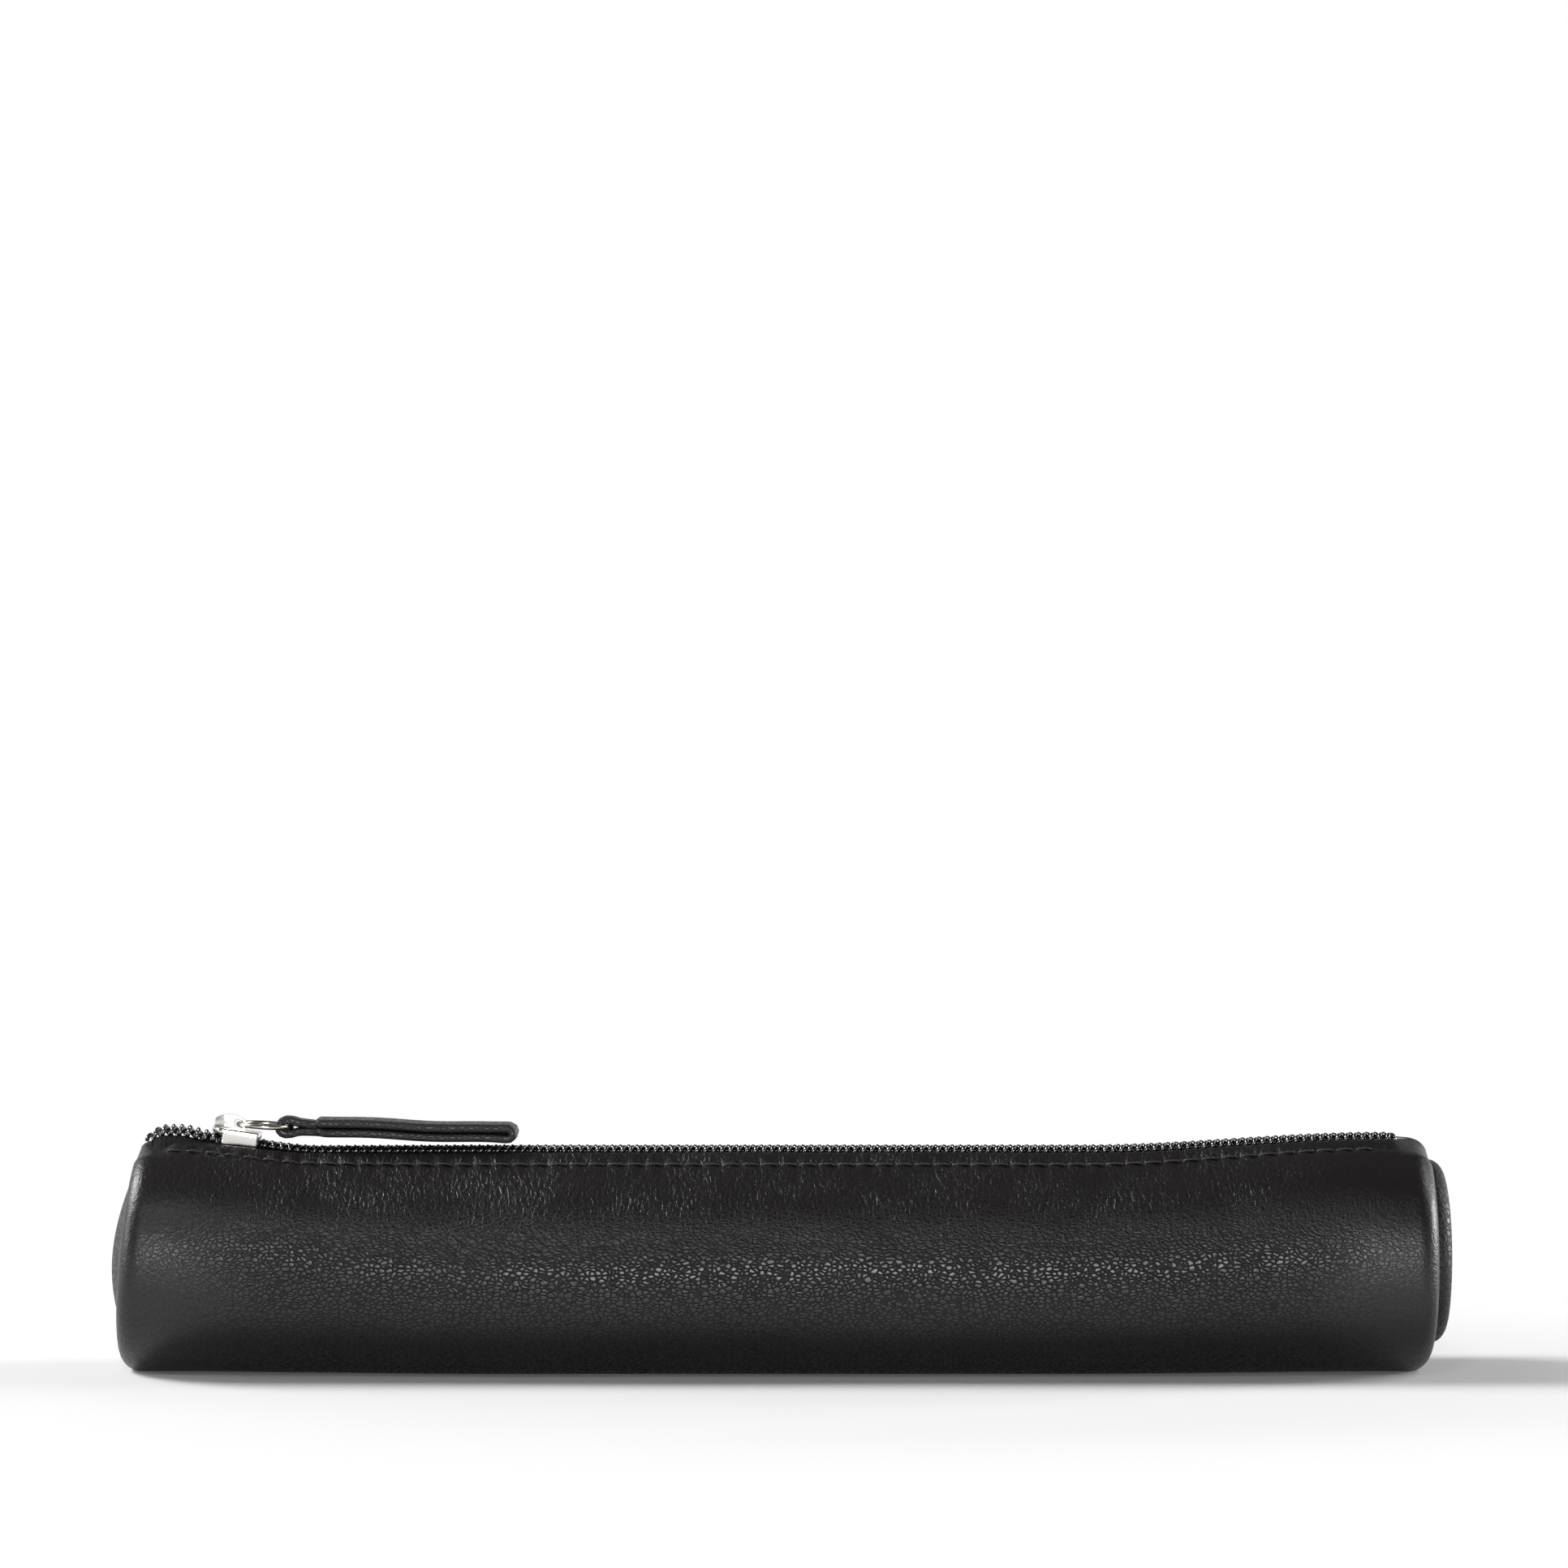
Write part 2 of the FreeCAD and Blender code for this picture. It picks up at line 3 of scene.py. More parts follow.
import bmesh
import bpy
from mathutils import Matrix, Vector, noise
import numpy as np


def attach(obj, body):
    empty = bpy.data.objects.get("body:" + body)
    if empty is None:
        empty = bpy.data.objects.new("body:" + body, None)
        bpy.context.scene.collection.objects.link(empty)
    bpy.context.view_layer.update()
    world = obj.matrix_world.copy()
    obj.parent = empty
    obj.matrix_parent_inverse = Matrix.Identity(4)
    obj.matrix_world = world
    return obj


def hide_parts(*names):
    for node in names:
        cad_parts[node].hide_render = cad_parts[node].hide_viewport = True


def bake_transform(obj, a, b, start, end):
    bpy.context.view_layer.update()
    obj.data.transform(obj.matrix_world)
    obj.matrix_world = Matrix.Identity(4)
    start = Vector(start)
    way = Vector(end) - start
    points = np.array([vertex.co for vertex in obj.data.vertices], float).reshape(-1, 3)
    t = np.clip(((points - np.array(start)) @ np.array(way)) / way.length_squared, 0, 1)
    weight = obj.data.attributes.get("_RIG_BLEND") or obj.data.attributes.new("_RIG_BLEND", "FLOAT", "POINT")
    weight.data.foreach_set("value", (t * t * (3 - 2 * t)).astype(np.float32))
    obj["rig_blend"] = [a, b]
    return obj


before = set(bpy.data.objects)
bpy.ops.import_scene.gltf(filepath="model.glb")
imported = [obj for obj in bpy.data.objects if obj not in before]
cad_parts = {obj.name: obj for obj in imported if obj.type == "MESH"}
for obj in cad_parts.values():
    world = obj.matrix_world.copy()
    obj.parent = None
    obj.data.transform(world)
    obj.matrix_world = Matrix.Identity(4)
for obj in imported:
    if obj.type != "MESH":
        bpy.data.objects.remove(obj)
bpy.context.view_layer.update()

# Leather wrap: one cut of soft black nappa that makes the tube from mouth edge to
# mouth edge. It is shown as a front and a rear half that meet under the tube. The
# edges beside the zip are turned in, and both ends roll over the seams of the discs.
SIDES = (("front", -1), ("rear", 1))
MM = 0.001  # sizes are in millimetres, and the scene is in metres
RIM_X = 97.1
ROLL = 3.0
BODY_X = RIM_X - ROLL
LEATHER = 1.1
HALF_WIDTH = 18.2
WIDEST_HEIGHT = 14.0
ROOF_TURN = 54.0
FLOOR_SINK = 0.3
END_FROM = 0.45 * BODY_X
END_NARROWING = 0.7
END_WIDEST_RISE = 3.0
END_ROOF_TURN = 11.0
MOUTH_HALF = 4.3
EDGE_HEIGHT = 32.4
LEATHER_RISE = 1.8
ZIP_RISE = 2.6
LEFT_RISING = (-68.0, -92.0)
RIGHT_RISE = 2.0
RIGHT_RISING = (46.0, 90.0)
LEFT_LEAN = 5.0
LEANING = (-62.0, -BODY_X)
LEAN_PIVOT = 8.0
FOLD_Y = 18.2
FOLD_Z = 17.0
SEAM_RADIUS = 13.6
SEAM_HEIGHT = 17.4
SEAM_STRETCH = {-1: 1.2, 1: 0.3}
STITCH_PITCH = 2.84
STITCH_FROM_EDGE = 2.25


def smooth_step(start, end, x):
    t = min(max((x - start) / (end - start), 0.0), 1.0)
    return t * t * (3.0 - 2.0 * t)


class TubeOutline:
    """Half of the tube's cross-section at a place along it, in millimetres."""

    def __init__(self, x, left_rise=LEATHER_RISE):
        end = smooth_step(END_FROM, BODY_X, abs(x))
        left = left_rise * smooth_step(*LEFT_RISING, x)
        right = RIGHT_RISE * smooth_step(*RIGHT_RISING, x)
        half_width = HALF_WIDTH - END_NARROWING * end
        self.widest = WIDEST_HEIGHT + END_WIDEST_RISE * end
        self.turn = math.radians(ROOF_TURN + END_ROOF_TURN * end)
        self.cos, self.sin = math.cos(self.turn), math.sin(self.turn)
        self.edge = (MOUTH_HALF, EDGE_HEIGHT + left + right)
        across = half_width - MOUTH_HALF
        up = self.edge[1] - self.widest
        self.upper = (up * self.sin - across * self.cos) / (1.0 - self.cos)
        self.roof = (across - self.upper * (1.0 - self.cos)) / self.sin
        self.lower = self.widest + FLOOR_SINK
        self.flat = half_width - self.lower
        self.centre = half_width - self.upper

    def floor_at(self, share, inset):
        return (self.flat * share, inset - FLOOR_SINK)

    def lower_at(self, share, inset):
        a = math.radians(-90.0 + 90.0 * share)
        r = self.lower - inset
        return (self.flat + r * math.cos(a), self.widest + r * math.sin(a))

    def upper_at(self, share, inset):
        a = self.turn * share
        r = self.upper - inset
        return (self.centre + r * math.cos(a), self.widest + r * math.sin(a))

    def roof_at(self, share, inset):
        back = self.roof * (1.0 - share)
        y = self.edge[0] + back * self.sin - inset * self.cos
        z = self.edge[1] - back * self.cos - inset * self.sin
        return (y, z)

    def edge_at(self, share):
        """Round of the turned edge, from the outer side to the inner."""
        a = math.pi * share
        r = LEATHER / 2
        y, z = self.roof_at(1.0, r - r * math.cos(a))
        return (y - r * math.sin(a) * self.sin, z + r * math.sin(a) * self.cos)


def lean_of(x):
    return math.radians(LEFT_LEAN * smooth_step(*LEANING, x))


def leaned(x, station, y, z):
    """A point of the cross-section at station, in metres, leaned with the left rim."""
    a = lean_of(station)
    dx, dz = x - station, z - LEAN_PIVOT
    turned_x = station + dx * math.cos(a) + dz * math.sin(a)
    turned_z = LEAN_PIVOT - dx * math.sin(a) + dz * math.cos(a)
    return Vector((turned_x, y, turned_z)) * MM


WRAP_ROWS = (
    ("floor", 3),
    ("lower", 22),
    ("upper", 26),
    ("roof", 40),
    ("edge", 8),
    ("inner_roof", 10),
    ("inner_upper", 10),
    ("inner_lower", 10),
    ("inner_floor", 3),
)
WRAP_ROW_COUNT = sum(count for _, count in WRAP_ROWS)
OUTER_ROWS = sum(count for stretch, count in WRAP_ROWS if not stretch.startswith("inner"))
ROLL_COLUMNS = 9
SEAM_COLUMNS = 6
END_COLUMNS = ROLL_COLUMNS + SEAM_COLUMNS
BODY_COLUMNS = 430
WRAP_COLUMNS = BODY_COLUMNS + 2 * END_COLUMNS


def mapped_grid(columns, rows, place):
    """A grid whose points are put where place(column, row) says."""
    bm = bmesh.new()
    bmesh.ops.create_grid(bm, x_segments=columns, y_segments=rows, size=0.5)
    for v in bm.verts:
        v.co = place((v.co.x + 0.5) * columns, (v.co.y + 0.5) * rows)
    return bm


def finished(name, bm, materials):
    """A smooth object made from a bmesh, which is freed."""
    mesh = bpy.data.meshes.new(name)
    for face in bm.faces:
        face.smooth = True
    bm.to_mesh(mesh)
    bm.free()
    for material in materials:
        mesh.materials.append(material)
    piece = bpy.data.objects.new(name, mesh)
    bpy.context.scene.collection.objects.link(piece)
    return piece


def wrap_row(row):
    """Name of the stretch that a row lies in, and its share of that stretch."""
    for name, count in WRAP_ROWS:
        if row <= count:
            return name, row / count
        row -= count
    return WRAP_ROWS[-1][0], 1.0


def wrap_station(column):
    """Station, distance past it, inset and seam share of a column of the wrap."""
    end = -1 if column < WRAP_COLUMNS / 2 else 1
    from_end = column if end < 0 else WRAP_COLUMNS - column
    past = END_COLUMNS - from_end
    if past <= 0:
        share = -past / BODY_COLUMNS
        return end * BODY_X * (1.0 - 2.0 * share), 0.0, 0.0, 0.0
    a = math.radians(90.0) * min(past / ROLL_COLUMNS, 1.0)
    seam = max(past - ROLL_COLUMNS, 0.0) / SEAM_COLUMNS
    return end * BODY_X, end * ROLL * math.sin(a), ROLL * (1.0 - math.cos(a)), seam


SWELLS = ((0.42, 26.0, 0.0), (0.16, 9.0, 7.0))
HELD_AT_EDGE = (2.0, 9.0)
HELD_SHARE = 0.25


def softness(x, y, z, from_edge):
    """How far the soft leather stands out of the drawn tube, in millimetres."""
    place = Vector((x, y, z))
    swell = 0.0
    for height, length, shift in SWELLS:
        swell += height * noise.noise(place / length + Vector((shift, 0.0, 0.0)))
    free = smooth_step(*HELD_AT_EDGE, from_edge)
    return swell * (HELD_SHARE + (1.0 - HELD_SHARE) * free)


PUCKER_ROW = 0.75
PUCKER_DEPTH = 0.16
HOLE_DEPTH = 0.14
TUG_REACH = 2.4
TUG_DEPTH = 0.13
TUG_WANDER = 1.2
WANDER_LENGTHS = (6.0, 4.0)
WANDER_SHIFT = 3.0


def stitch_pucker(x, from_edge):
    """Hollow row where the thread pulls the leather down, deepest at each hole."""
    off_row = from_edge - STITCH_FROM_EDGE
    beat = 0.5 + 0.5 * math.cos(2.0 * math.pi * x / STITCH_PITCH)
    row = math.exp(-((off_row / PUCKER_ROW) ** 2))
    tug = math.exp(-((off_row / TUG_REACH) ** 2))
    along, down = x / WANDER_LENGTHS[0], from_edge / WANDER_LENGTHS[1]
    wander = 1.0 + TUG_WANDER * noise.noise(Vector((along, down, WANDER_SHIFT)))
    return -(PUCKER_DEPTH + HOLE_DEPTH * beat) * row - TUG_DEPTH * tug * (beat - 0.5) * wander


MOUTH_SLIT = 0.35
MOUTH_CLOSES = (91.0, 95.5)
CLOSING_REACH = 8.0


def mouth_closing(x, from_edge):
    """How far the leather beside the mouth is drawn to the middle, where the slot ends."""
    drawn = smooth_step(*MOUTH_CLOSES, abs(x)) * smooth_step(CLOSING_REACH, 0.0, from_edge)
    return (MOUTH_HALF - MOUTH_SLIT) * drawn


def seam_radius(end, up):
    """Radius of a disc's seam, which is drawn up a little at its top; up is the ray's rise."""
    return SEAM_RADIUS + SEAM_STRETCH[end] * max(up, 0.0) ** 2


INNER_END = 1.6
INNER_FLOOR = 1.0
FAR_FROM_EDGE = 60.0
PUCKER_FADES = (93.0, 89.0)
LOWER_SETTLES = (0.1, 0.5)
ROLL_DRAWN_UP = 0.4
SEAM_PLAY = 0.1
SEAM_TURNS = 0.7
SEAM_DEPTH = 2.6


def wrap_place(side):
    """Where a column and row of the wrap's grid lie on one side of the tube."""

    def place(column, row):
        station, past, inset, seam = wrap_station(column)
        end = -1 if station < 0.0 else 1
        outline = TubeOutline(station)
        stretch, share = wrap_row(row)
        inner = stretch.startswith("inner")
        if inner:
            past = max(min(past, INNER_END), -INNER_END)
            share = 1.0 - share
        kind = stretch.removeprefix("inner_")
        from_edge = {"roof": outline.roof * (1.0 - share), "edge": 0.0}.get(kind, FAR_FROM_EDGE)
        if kind == "edge":
            y, z = outline.edge_at(share)
        else:
            y, z = getattr(outline, kind + "_at")(share, LEATHER if inner else 0.0)
        y -= mouth_closing(station + past, from_edge)
        if inner:
            return leaned(station + past, station, side * y, max(z, INNER_FLOOR))
        out = (Vector((y, z)) - Vector((0.0, outline.widest))).normalized()
        puff = softness(station + past, side * y, z, from_edge)
        if stretch in ("roof", "upper"):
            puff += stitch_pucker(station, from_edge) * smooth_step(*PUCKER_FADES, abs(station))
        if stretch == "floor":
            puff = 0.0
        if stretch == "lower":
            puff *= smooth_step(*LOWER_SETTLES, share)
        inset *= 1.0 - ROLL_DRAWN_UP * SEAM_STRETCH[end] * max(out.y, 0.0) ** 2
        at = Vector((y, z)) + out * (puff - inset)
        if seam > 0.0:
            middle = Vector((0.0, SEAM_HEIGHT))
            ray = (at - middle).normalized()
            sewn = middle + ray * (seam_radius(end, ray.y) - SEAM_PLAY)
            at = at.lerp(sewn, smooth_step(0.0, SEAM_TURNS, seam))
            past -= math.copysign(SEAM_DEPTH * seam ** 2, past)
        return leaned(station + past, station, side * at.x, max(at.y, 0.0))

    return place


MOUTH_OPENS = (93.0, 42.0)
LIP_BENDS = (11.0, 24.0)


def mouth_share(x):
    """How much of a lip's turn a place along the mouth takes part in."""
    return smooth_step(*MOUTH_OPENS, abs(x))


def wrap_share(co):
    return mouth_share(co.x) * smooth_step(*LIP_BENDS, co.z)


def bend_with_lip(piece, lip, share_at):
    """Let each point follow the case or the lip by its own share."""
    side = -1.0 if lip == "front_lip" else 1.0
    hinge = Vector((0.0, side * FOLD_Y, FOLD_Z)) * MM
    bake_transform(piece, "case", lip, start=hinge - Vector((0, 0, 0.005)), end=hinge + Vector((0, 0, 0.007)))
    share = piece.data.attributes["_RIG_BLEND"]
    for vertex in piece.data.vertices:
        share.data[vertex.index].value = share_at(vertex.co / MM)


class NodeKit:
    """Nodes of a material, a node group or the world, with calls that add the usual ones."""

    def __init__(self, tree):
        self.nodes, self.links = tree.nodes, tree.links

    def feed(self, socket, value):
        """Link a socket to another one, or set it to a value."""
        if isinstance(value, bpy.types.NodeSocket):
            self.links.new(value, socket)
        else:
            socket.default_value = value

    def added(self, kind, inputs, **settings):
        """Outputs of a new node, whose inputs are given by name or by place."""
        node = self.nodes.new("ShaderNode" + kind)
        for setting, value in settings.items():
            setattr(node, setting, value)
        for socket, value in inputs.items():
            self.feed(node.inputs[socket], value)
        return node.outputs

    def object_place(self):
        return self.added("TexCoord", {})["Object"]

    def calculated(self, operation, *terms):
        """Result of a Math node whose terms are sockets or numbers."""
        return self.added("Math", dict(enumerate(terms)), operation=operation)["Value"]

    def ramp(self, source, span, values, curve="SMOOTHSTEP"):
        """A value that goes from the first to the second while its source crosses a span."""
        ends = {"From Min": span[0], "From Max": span[1], "To Min": values[0], "To Max": values[1]}
        return self.added("MapRange", {"Value": source, **ends}, interpolation_type=curve)["Result"]

    def noise(self, where, scale, detail=2.0, distortion=0.0):
        inputs = {"Vector": where, "Scale": scale, "Detail": detail, "Distortion": distortion}
        return self.added("TexNoise", inputs)["Fac"]

    def wave(self, where, scale, direction):
        inputs = {"Vector": where, "Scale": scale}
        return self.added("TexWave", inputs, bands_direction=direction)["Fac"]

    def mixed(self, share, dark, light):
        return self.added("MixRGB", {"Fac": share, "Color1": dark, "Color2": light})["Color"]

    def relief(self, height, depth):
        return self.added("Bump", {"Height": height, "Distance": depth})["Normal"]


GRAIN_SOCKETS = (
    ("Vector", "INPUT", "NodeSocketVector"),
    ("Cells per metre", "INPUT", "NodeSocketFloat"),
    ("Height", "OUTPUT", "NodeSocketFloat"),
    ("Crease", "OUTPUT", "NodeSocketFloat"),
)
GRAIN_DRAWN = (0.68, 1.0, 1.0)
WARP_SCALE = 420.0
WARP_REACH = (0.0007, 0.0007, 0.0007)
PEBBLE_EDGE = 0.29
PORE_SCALE = 2600.0
PORE_HEIGHT = 0.15


def grain_group():
    """Pebbled grain: small round cells with fine pores and creases between them."""
    group = bpy.data.node_groups.new("leather_grain", "ShaderNodeTree")
    for name, way, kind in GRAIN_SOCKETS:
        group.interface.new_socket(name, in_out=way, socket_type=kind)
    kit = NodeKit(group)
    into = group.nodes.new("NodeGroupInput").outputs
    out = group.nodes.new("NodeGroupOutput").inputs
    drawn = kit.added("VectorMath", {0: into["Vector"], 1: GRAIN_DRAWN}, operation="MULTIPLY")["Vector"]
    warp = kit.added("TexNoise", {"Vector": drawn, "Scale": WARP_SCALE})["Color"]
    warped = kit.added("VectorMath", {0: warp, 1: WARP_REACH, 2: drawn}, operation="MULTIPLY_ADD")["Vector"]
    cells = {"Vector": warped, "Scale": into["Cells per metre"]}
    from_crease = kit.added("TexVoronoi", cells, feature="DISTANCE_TO_EDGE")["Distance"]
    slope = kit.ramp(from_crease, (0.0, PEBBLE_EDGE), (0.0, 1.0), "LINEAR")
    crease = kit.calculated("SUBTRACT", 1.0, slope)
    hollow = kit.calculated("MULTIPLY", crease, crease)
    rounded_top = kit.calculated("SUBTRACT", 1.0, hollow)
    pores = kit.noise(into["Vector"], PORE_SCALE, detail=3.0)
    kit.feed(out["Height"], kit.calculated("MULTIPLY_ADD", pores, PORE_HEIGHT, rounded_top))
    kit.feed(out["Crease"], crease)
    return group


GRAIN = grain_group()


def new_material(name):
    """A new material, its nodes and the inputs of its main shader."""
    material = bpy.data.materials.new(name)
    material.use_nodes = True
    kit = NodeKit(material.node_tree)
    return material, kit, kit.nodes["Principled BSDF"].inputs


RIM_FADE = (0.070, 0.092)
RIM_GRAIN = 0.26
RIM_WRINKLES = 0.6
LOW_FADE = (0.005, 0.014)
LOW_GRAIN = 0.45
ROOF_FADE = (0.0180, 0.0270)
ROOF_SOFTENING = 0.8
CREASE_LEAN = math.radians(14.0)
CREASES_PER_METRE = (2100.0, 600.0, 800.0)
CREASE_BENDING = 0.6
PATCHES_PER_METRE = 130.0
PATCH_FADE = (0.35, 0.65)
PATCH_HEIGHTS = (1.3, 2.6)
WRINKLES_PER_METRE = 1500.0


def sewn_relief(kit, where, grain_height):
    """Height of the wrap's grain, and its strength along the wrap.

    The grain is strong at mid height, creased below the stitches and smooth at the rims.
    """
    axis = kit.added("SeparateXYZ", {"Vector": where})
    reach = kit.calculated("ABSOLUTE", axis["X"])
    to_rim = kit.ramp(reach, RIM_FADE, (1.0, RIM_GRAIN))
    low = kit.ramp(axis["Z"], LOW_FADE, (LOW_GRAIN, 1.0))
    roof = kit.ramp(axis["Z"], ROOF_FADE, (0.0, 1.0))
    leaning = {"Vector": where, "Rotation": (0.0, CREASE_LEAN, 0.0), "Scale": CREASES_PER_METRE}
    lines = kit.noise(kit.added("Mapping", leaning)["Vector"], 1.0, distortion=CREASE_BENDING)
    patchy = kit.ramp(kit.noise(where, PATCHES_PER_METRE), PATCH_FADE, PATCH_HEIGHTS)
    drawn_in = kit.calculated("MULTIPLY", lines, patchy)
    creases = kit.calculated("MULTIPLY", drawn_in, roof)
    softer = kit.calculated("MULTIPLY_ADD", roof, -ROOF_SOFTENING, 1.0)
    pebbles = kit.calculated("MULTIPLY", grain_height, low)
    pebbles = kit.calculated("MULTIPLY", pebbles, softer)
    both = kit.calculated("ADD", pebbles, creases)
    grained = kit.calculated("MULTIPLY", both, to_rim)
    wrinkles = kit.noise(where, WRINKLES_PER_METRE, detail=3.0)
    finer = kit.calculated("MULTIPLY_ADD", to_rim, -RIM_WRINKLES, 1.0)
    height = kit.calculated("MULTIPLY_ADD", wrinkles, finer, grained)
    strength = kit.calculated("MULTIPLY", softer, to_rim)
    return height, strength


MEAN_CREASE = 0.35
CREASE_DULLNESS = 0.26
PAINTED_SHADE_FADE = (0.25, 0.9)
CREASE_PAINTED_SHADE = (0.57, 0.32)
TONE_SCALE = 60.0


def black_leather(name, dark, light, rough, cells, bump, sewn=False):
    """Dyed nappa: pebbled grain, duller in the creases, with soft tone changes. On the sewn wrap the creases
    also get painted shade: a lower specular level.
    """
    material, kit, shader = new_material(name)
    where = kit.object_place()
    grain = kit.added("Group", {"Vector": where, "Cells per metre": cells}, node_tree=GRAIN)
    height, crease = grain["Height"], grain["Crease"]
    if sewn:
        height, strength = sewn_relief(kit, where, height)
        crease = kit.calculated("SUBTRACT", crease, MEAN_CREASE)
        crease = kit.calculated("MULTIPLY_ADD", crease, strength, MEAN_CREASE)
        # Painted shade: the specular level drops in the grain's creases, darkening them as if shade fell
        # there.
        kit.feed(shader["Specular IOR Level"], kit.ramp(crease, PAINTED_SHADE_FADE, CREASE_PAINTED_SHADE))
    tone = kit.noise(where, TONE_SCALE, detail=4.0)
    kit.feed(shader["Base Color"], kit.mixed(tone, dark, light))
    kit.feed(shader["Roughness"], kit.ramp(crease, (0.0, 1.0), (rough, rough + CREASE_DULLNESS)))
    kit.feed(shader["Normal"], kit.relief(height, bump))
    return material


WRAP_LEATHER = black_leather(
    "wrap_leather", dark=(0.0040, 0.0030, 0.0036, 1), light=(0.009, 0.0068, 0.0080, 1),
    rough=0.30, cells=1700.0, bump=0.00009, sewn=True,
)
FLESH_SIDE = black_leather(
    "leather_flesh_side", dark=(0.030, 0.028, 0.028, 1), light=(0.050, 0.046, 0.045, 1),
    rough=0.85, cells=2200.0, bump=0.00003,
)

for name, side in SIDES:
    shell = mapped_grid(WRAP_COLUMNS, WRAP_ROW_COUNT, wrap_place(side))
    for face in shell.faces:
        row = min(v.index for v in face.verts) // (WRAP_COLUMNS + 1)
        face.material_index = 1 if row >= OUTER_ROWS else 0
    if side > 0:
        bmesh.ops.reverse_faces(shell, faces=shell.faces)
    wrap = finished(name + "_wrap", shell, (WRAP_LEATHER, FLESH_SIDE))
    bend_with_lip(wrap, name + "_lip", wrap_share)
    if side < 0:
        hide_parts("front_lip_leather", "body_leather")
    else:
        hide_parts("rear_lip_leather")


# End discs: round leather pieces, sewn in from the inside along a turned seam, so
# that each stands out of the rolled rim as a low dome with a rounded edge.
DISC_FACE = 99.8
DISC_RADIUS = 13.55
DISC_EDGE = 2.3
DISC_CROWN = 0.4
DISC_STEPS = 120
HIDDEN_EDGE = ((4.0, 0.15), (1.5, 0.05))
DOME_FOOT = RIM_X - 0.7
DOME_POWER = 1.9
DOME_STEPS = 20
EDGE_STEPS = 8
FACE_STEPS = 12
DISC_SWELL = 0.22
DISC_SWELL_LENGTH = 14.0
DISC_SWELL_SHIFT = 3.0
SWELL_INSIDE = 0.6 * DISC_RADIUS
SAME_POINT = 0.0001
END_LEATHER = black_leather(
    "disc_leather", dark=(0.0050, 0.0038, 0.0045, 1), light=(0.011, 0.0085, 0.0098, 1),
    rough=0.40, cells=1150.0, bump=0.00006,
)


def disc_profile(end):
    """Points from the hidden seam edge to the disc's middle, as (x, radius).

    The right disc is flat with a round edge, the left one is a softer dome.
    """
    points = [(RIM_X - back, DISC_RADIUS - inside) for back, inside in HIDDEN_EDGE]
    if end < 0:
        for step in range(DOME_STEPS):
            share = 1.0 - step / DOME_STEPS
            x = DOME_FOOT + (DISC_FACE - DOME_FOOT) * (1.0 - share ** DOME_POWER)
            points.append((x, DISC_RADIUS * share))
        return points + [(DISC_FACE, 0.0)]
    corner_x = DISC_FACE - DISC_CROWN - DISC_EDGE
    corner_radius = DISC_RADIUS - DISC_EDGE
    for step in range(EDGE_STEPS + 1):
        a = math.radians(90.0 * step / EDGE_STEPS)
        points.append((corner_x + DISC_EDGE * math.sin(a), corner_radius + DISC_EDGE * math.cos(a)))
    for step in range(1, FACE_STEPS):
        share = step / FACE_STEPS
        points.append((DISC_FACE - DISC_CROWN * (1 - share) ** 2, corner_radius * (1 - share)))
    return points + [(DISC_FACE, 0.0)]


for name, end in (("left", -1), ("right", 1)):
    disc = bmesh.new()
    line = [disc.verts.new((end * x, 0.0, r)) for x, r in disc_profile(end)]
    edges = [disc.edges.new(pair) for pair in zip(line, line[1:])]
    bmesh.ops.spin(
        disc, geom=line + edges, axis=(1, 0, 0), cent=(0, 0, 0),
        angle=2 * math.pi, steps=DISC_STEPS, use_merge=True,
    )
    bmesh.ops.remove_doubles(disc, verts=disc.verts, dist=SAME_POINT)
    for v in disc.verts:
        radius = v.co.yz.length
        swell = DISC_SWELL * noise.noise(v.co / DISC_SWELL_LENGTH + Vector((DISC_SWELL_SHIFT, end, 0.0)))
        x = v.co.x + end * swell * smooth_step(DISC_RADIUS, SWELL_INSIDE, radius)
        grown = seam_radius(end, v.co.z / max(radius, 0.001)) / SEAM_RADIUS
        v.co = leaned(x, end * BODY_X, v.co.y * grown, v.co.z * grown + SEAM_HEIGHT)
    bmesh.ops.recalc_face_normals(disc, faces=disc.faces)
    piece = finished(name + "_disc", disc, (END_LEATHER,))
    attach(piece, "case")
    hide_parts(name + "_end_disc")


# Zip tapes: woven black strips that lie level under the coils and then run down
# under the leather's turned edges, where the topstitching holds them.
TAPE = 0.5
TAPE_PLAY = 0.1
TAPE_ROWS = 14
TAPE_COLUMNS = 260
TAPE_GAP = 0.15
TAPE_PARTING = 0.8
TAPE_UNDER_LEATHER = 7.5
CORNER_INSIDE = 0.6
CORNER_LEAST = 0.45
CORNER_ROUND = 0.25
CORNER_LIFT = 0.2
ZIP_END = 94.2
ZIP_PROUD = 0.6
PROUD_FROM = (-85.0, -89.0)
ZIP_DIVE = 2.2
DIVES = (90.5, 95.0)
PARTING = 1.3
PARTS = (-79.4, -83.6)
SETTLING_ROUNDS = 8
WEAVE_SCALE = 420.0
WEAVE_DEPTH = 0.00006
TAPE_DARK = (0.003, 0.003, 0.0035, 1)
TAPE_LIGHT = (0.010, 0.010, 0.011, 1)
TAPE_ROUGHNESS = 0.8
TAPE_SHINE = 0.12


def tape_corner(station, left_rise):
    """Where the tape lies under the leather's edge, or would if the edge rose with the zip."""
    return TubeOutline(station, left_rise).roof_at(1.0, LEATHER + TAPE_PLAY)


def zip_station(x):
    """Station whose leaned cross-section has its zip at x."""
    station = x
    for _ in range(SETTLING_ROUNDS):
        rise = tape_corner(station, ZIP_RISE)[1] - LEAN_PIVOT
        station = x - rise * math.sin(lean_of(station))
    return station


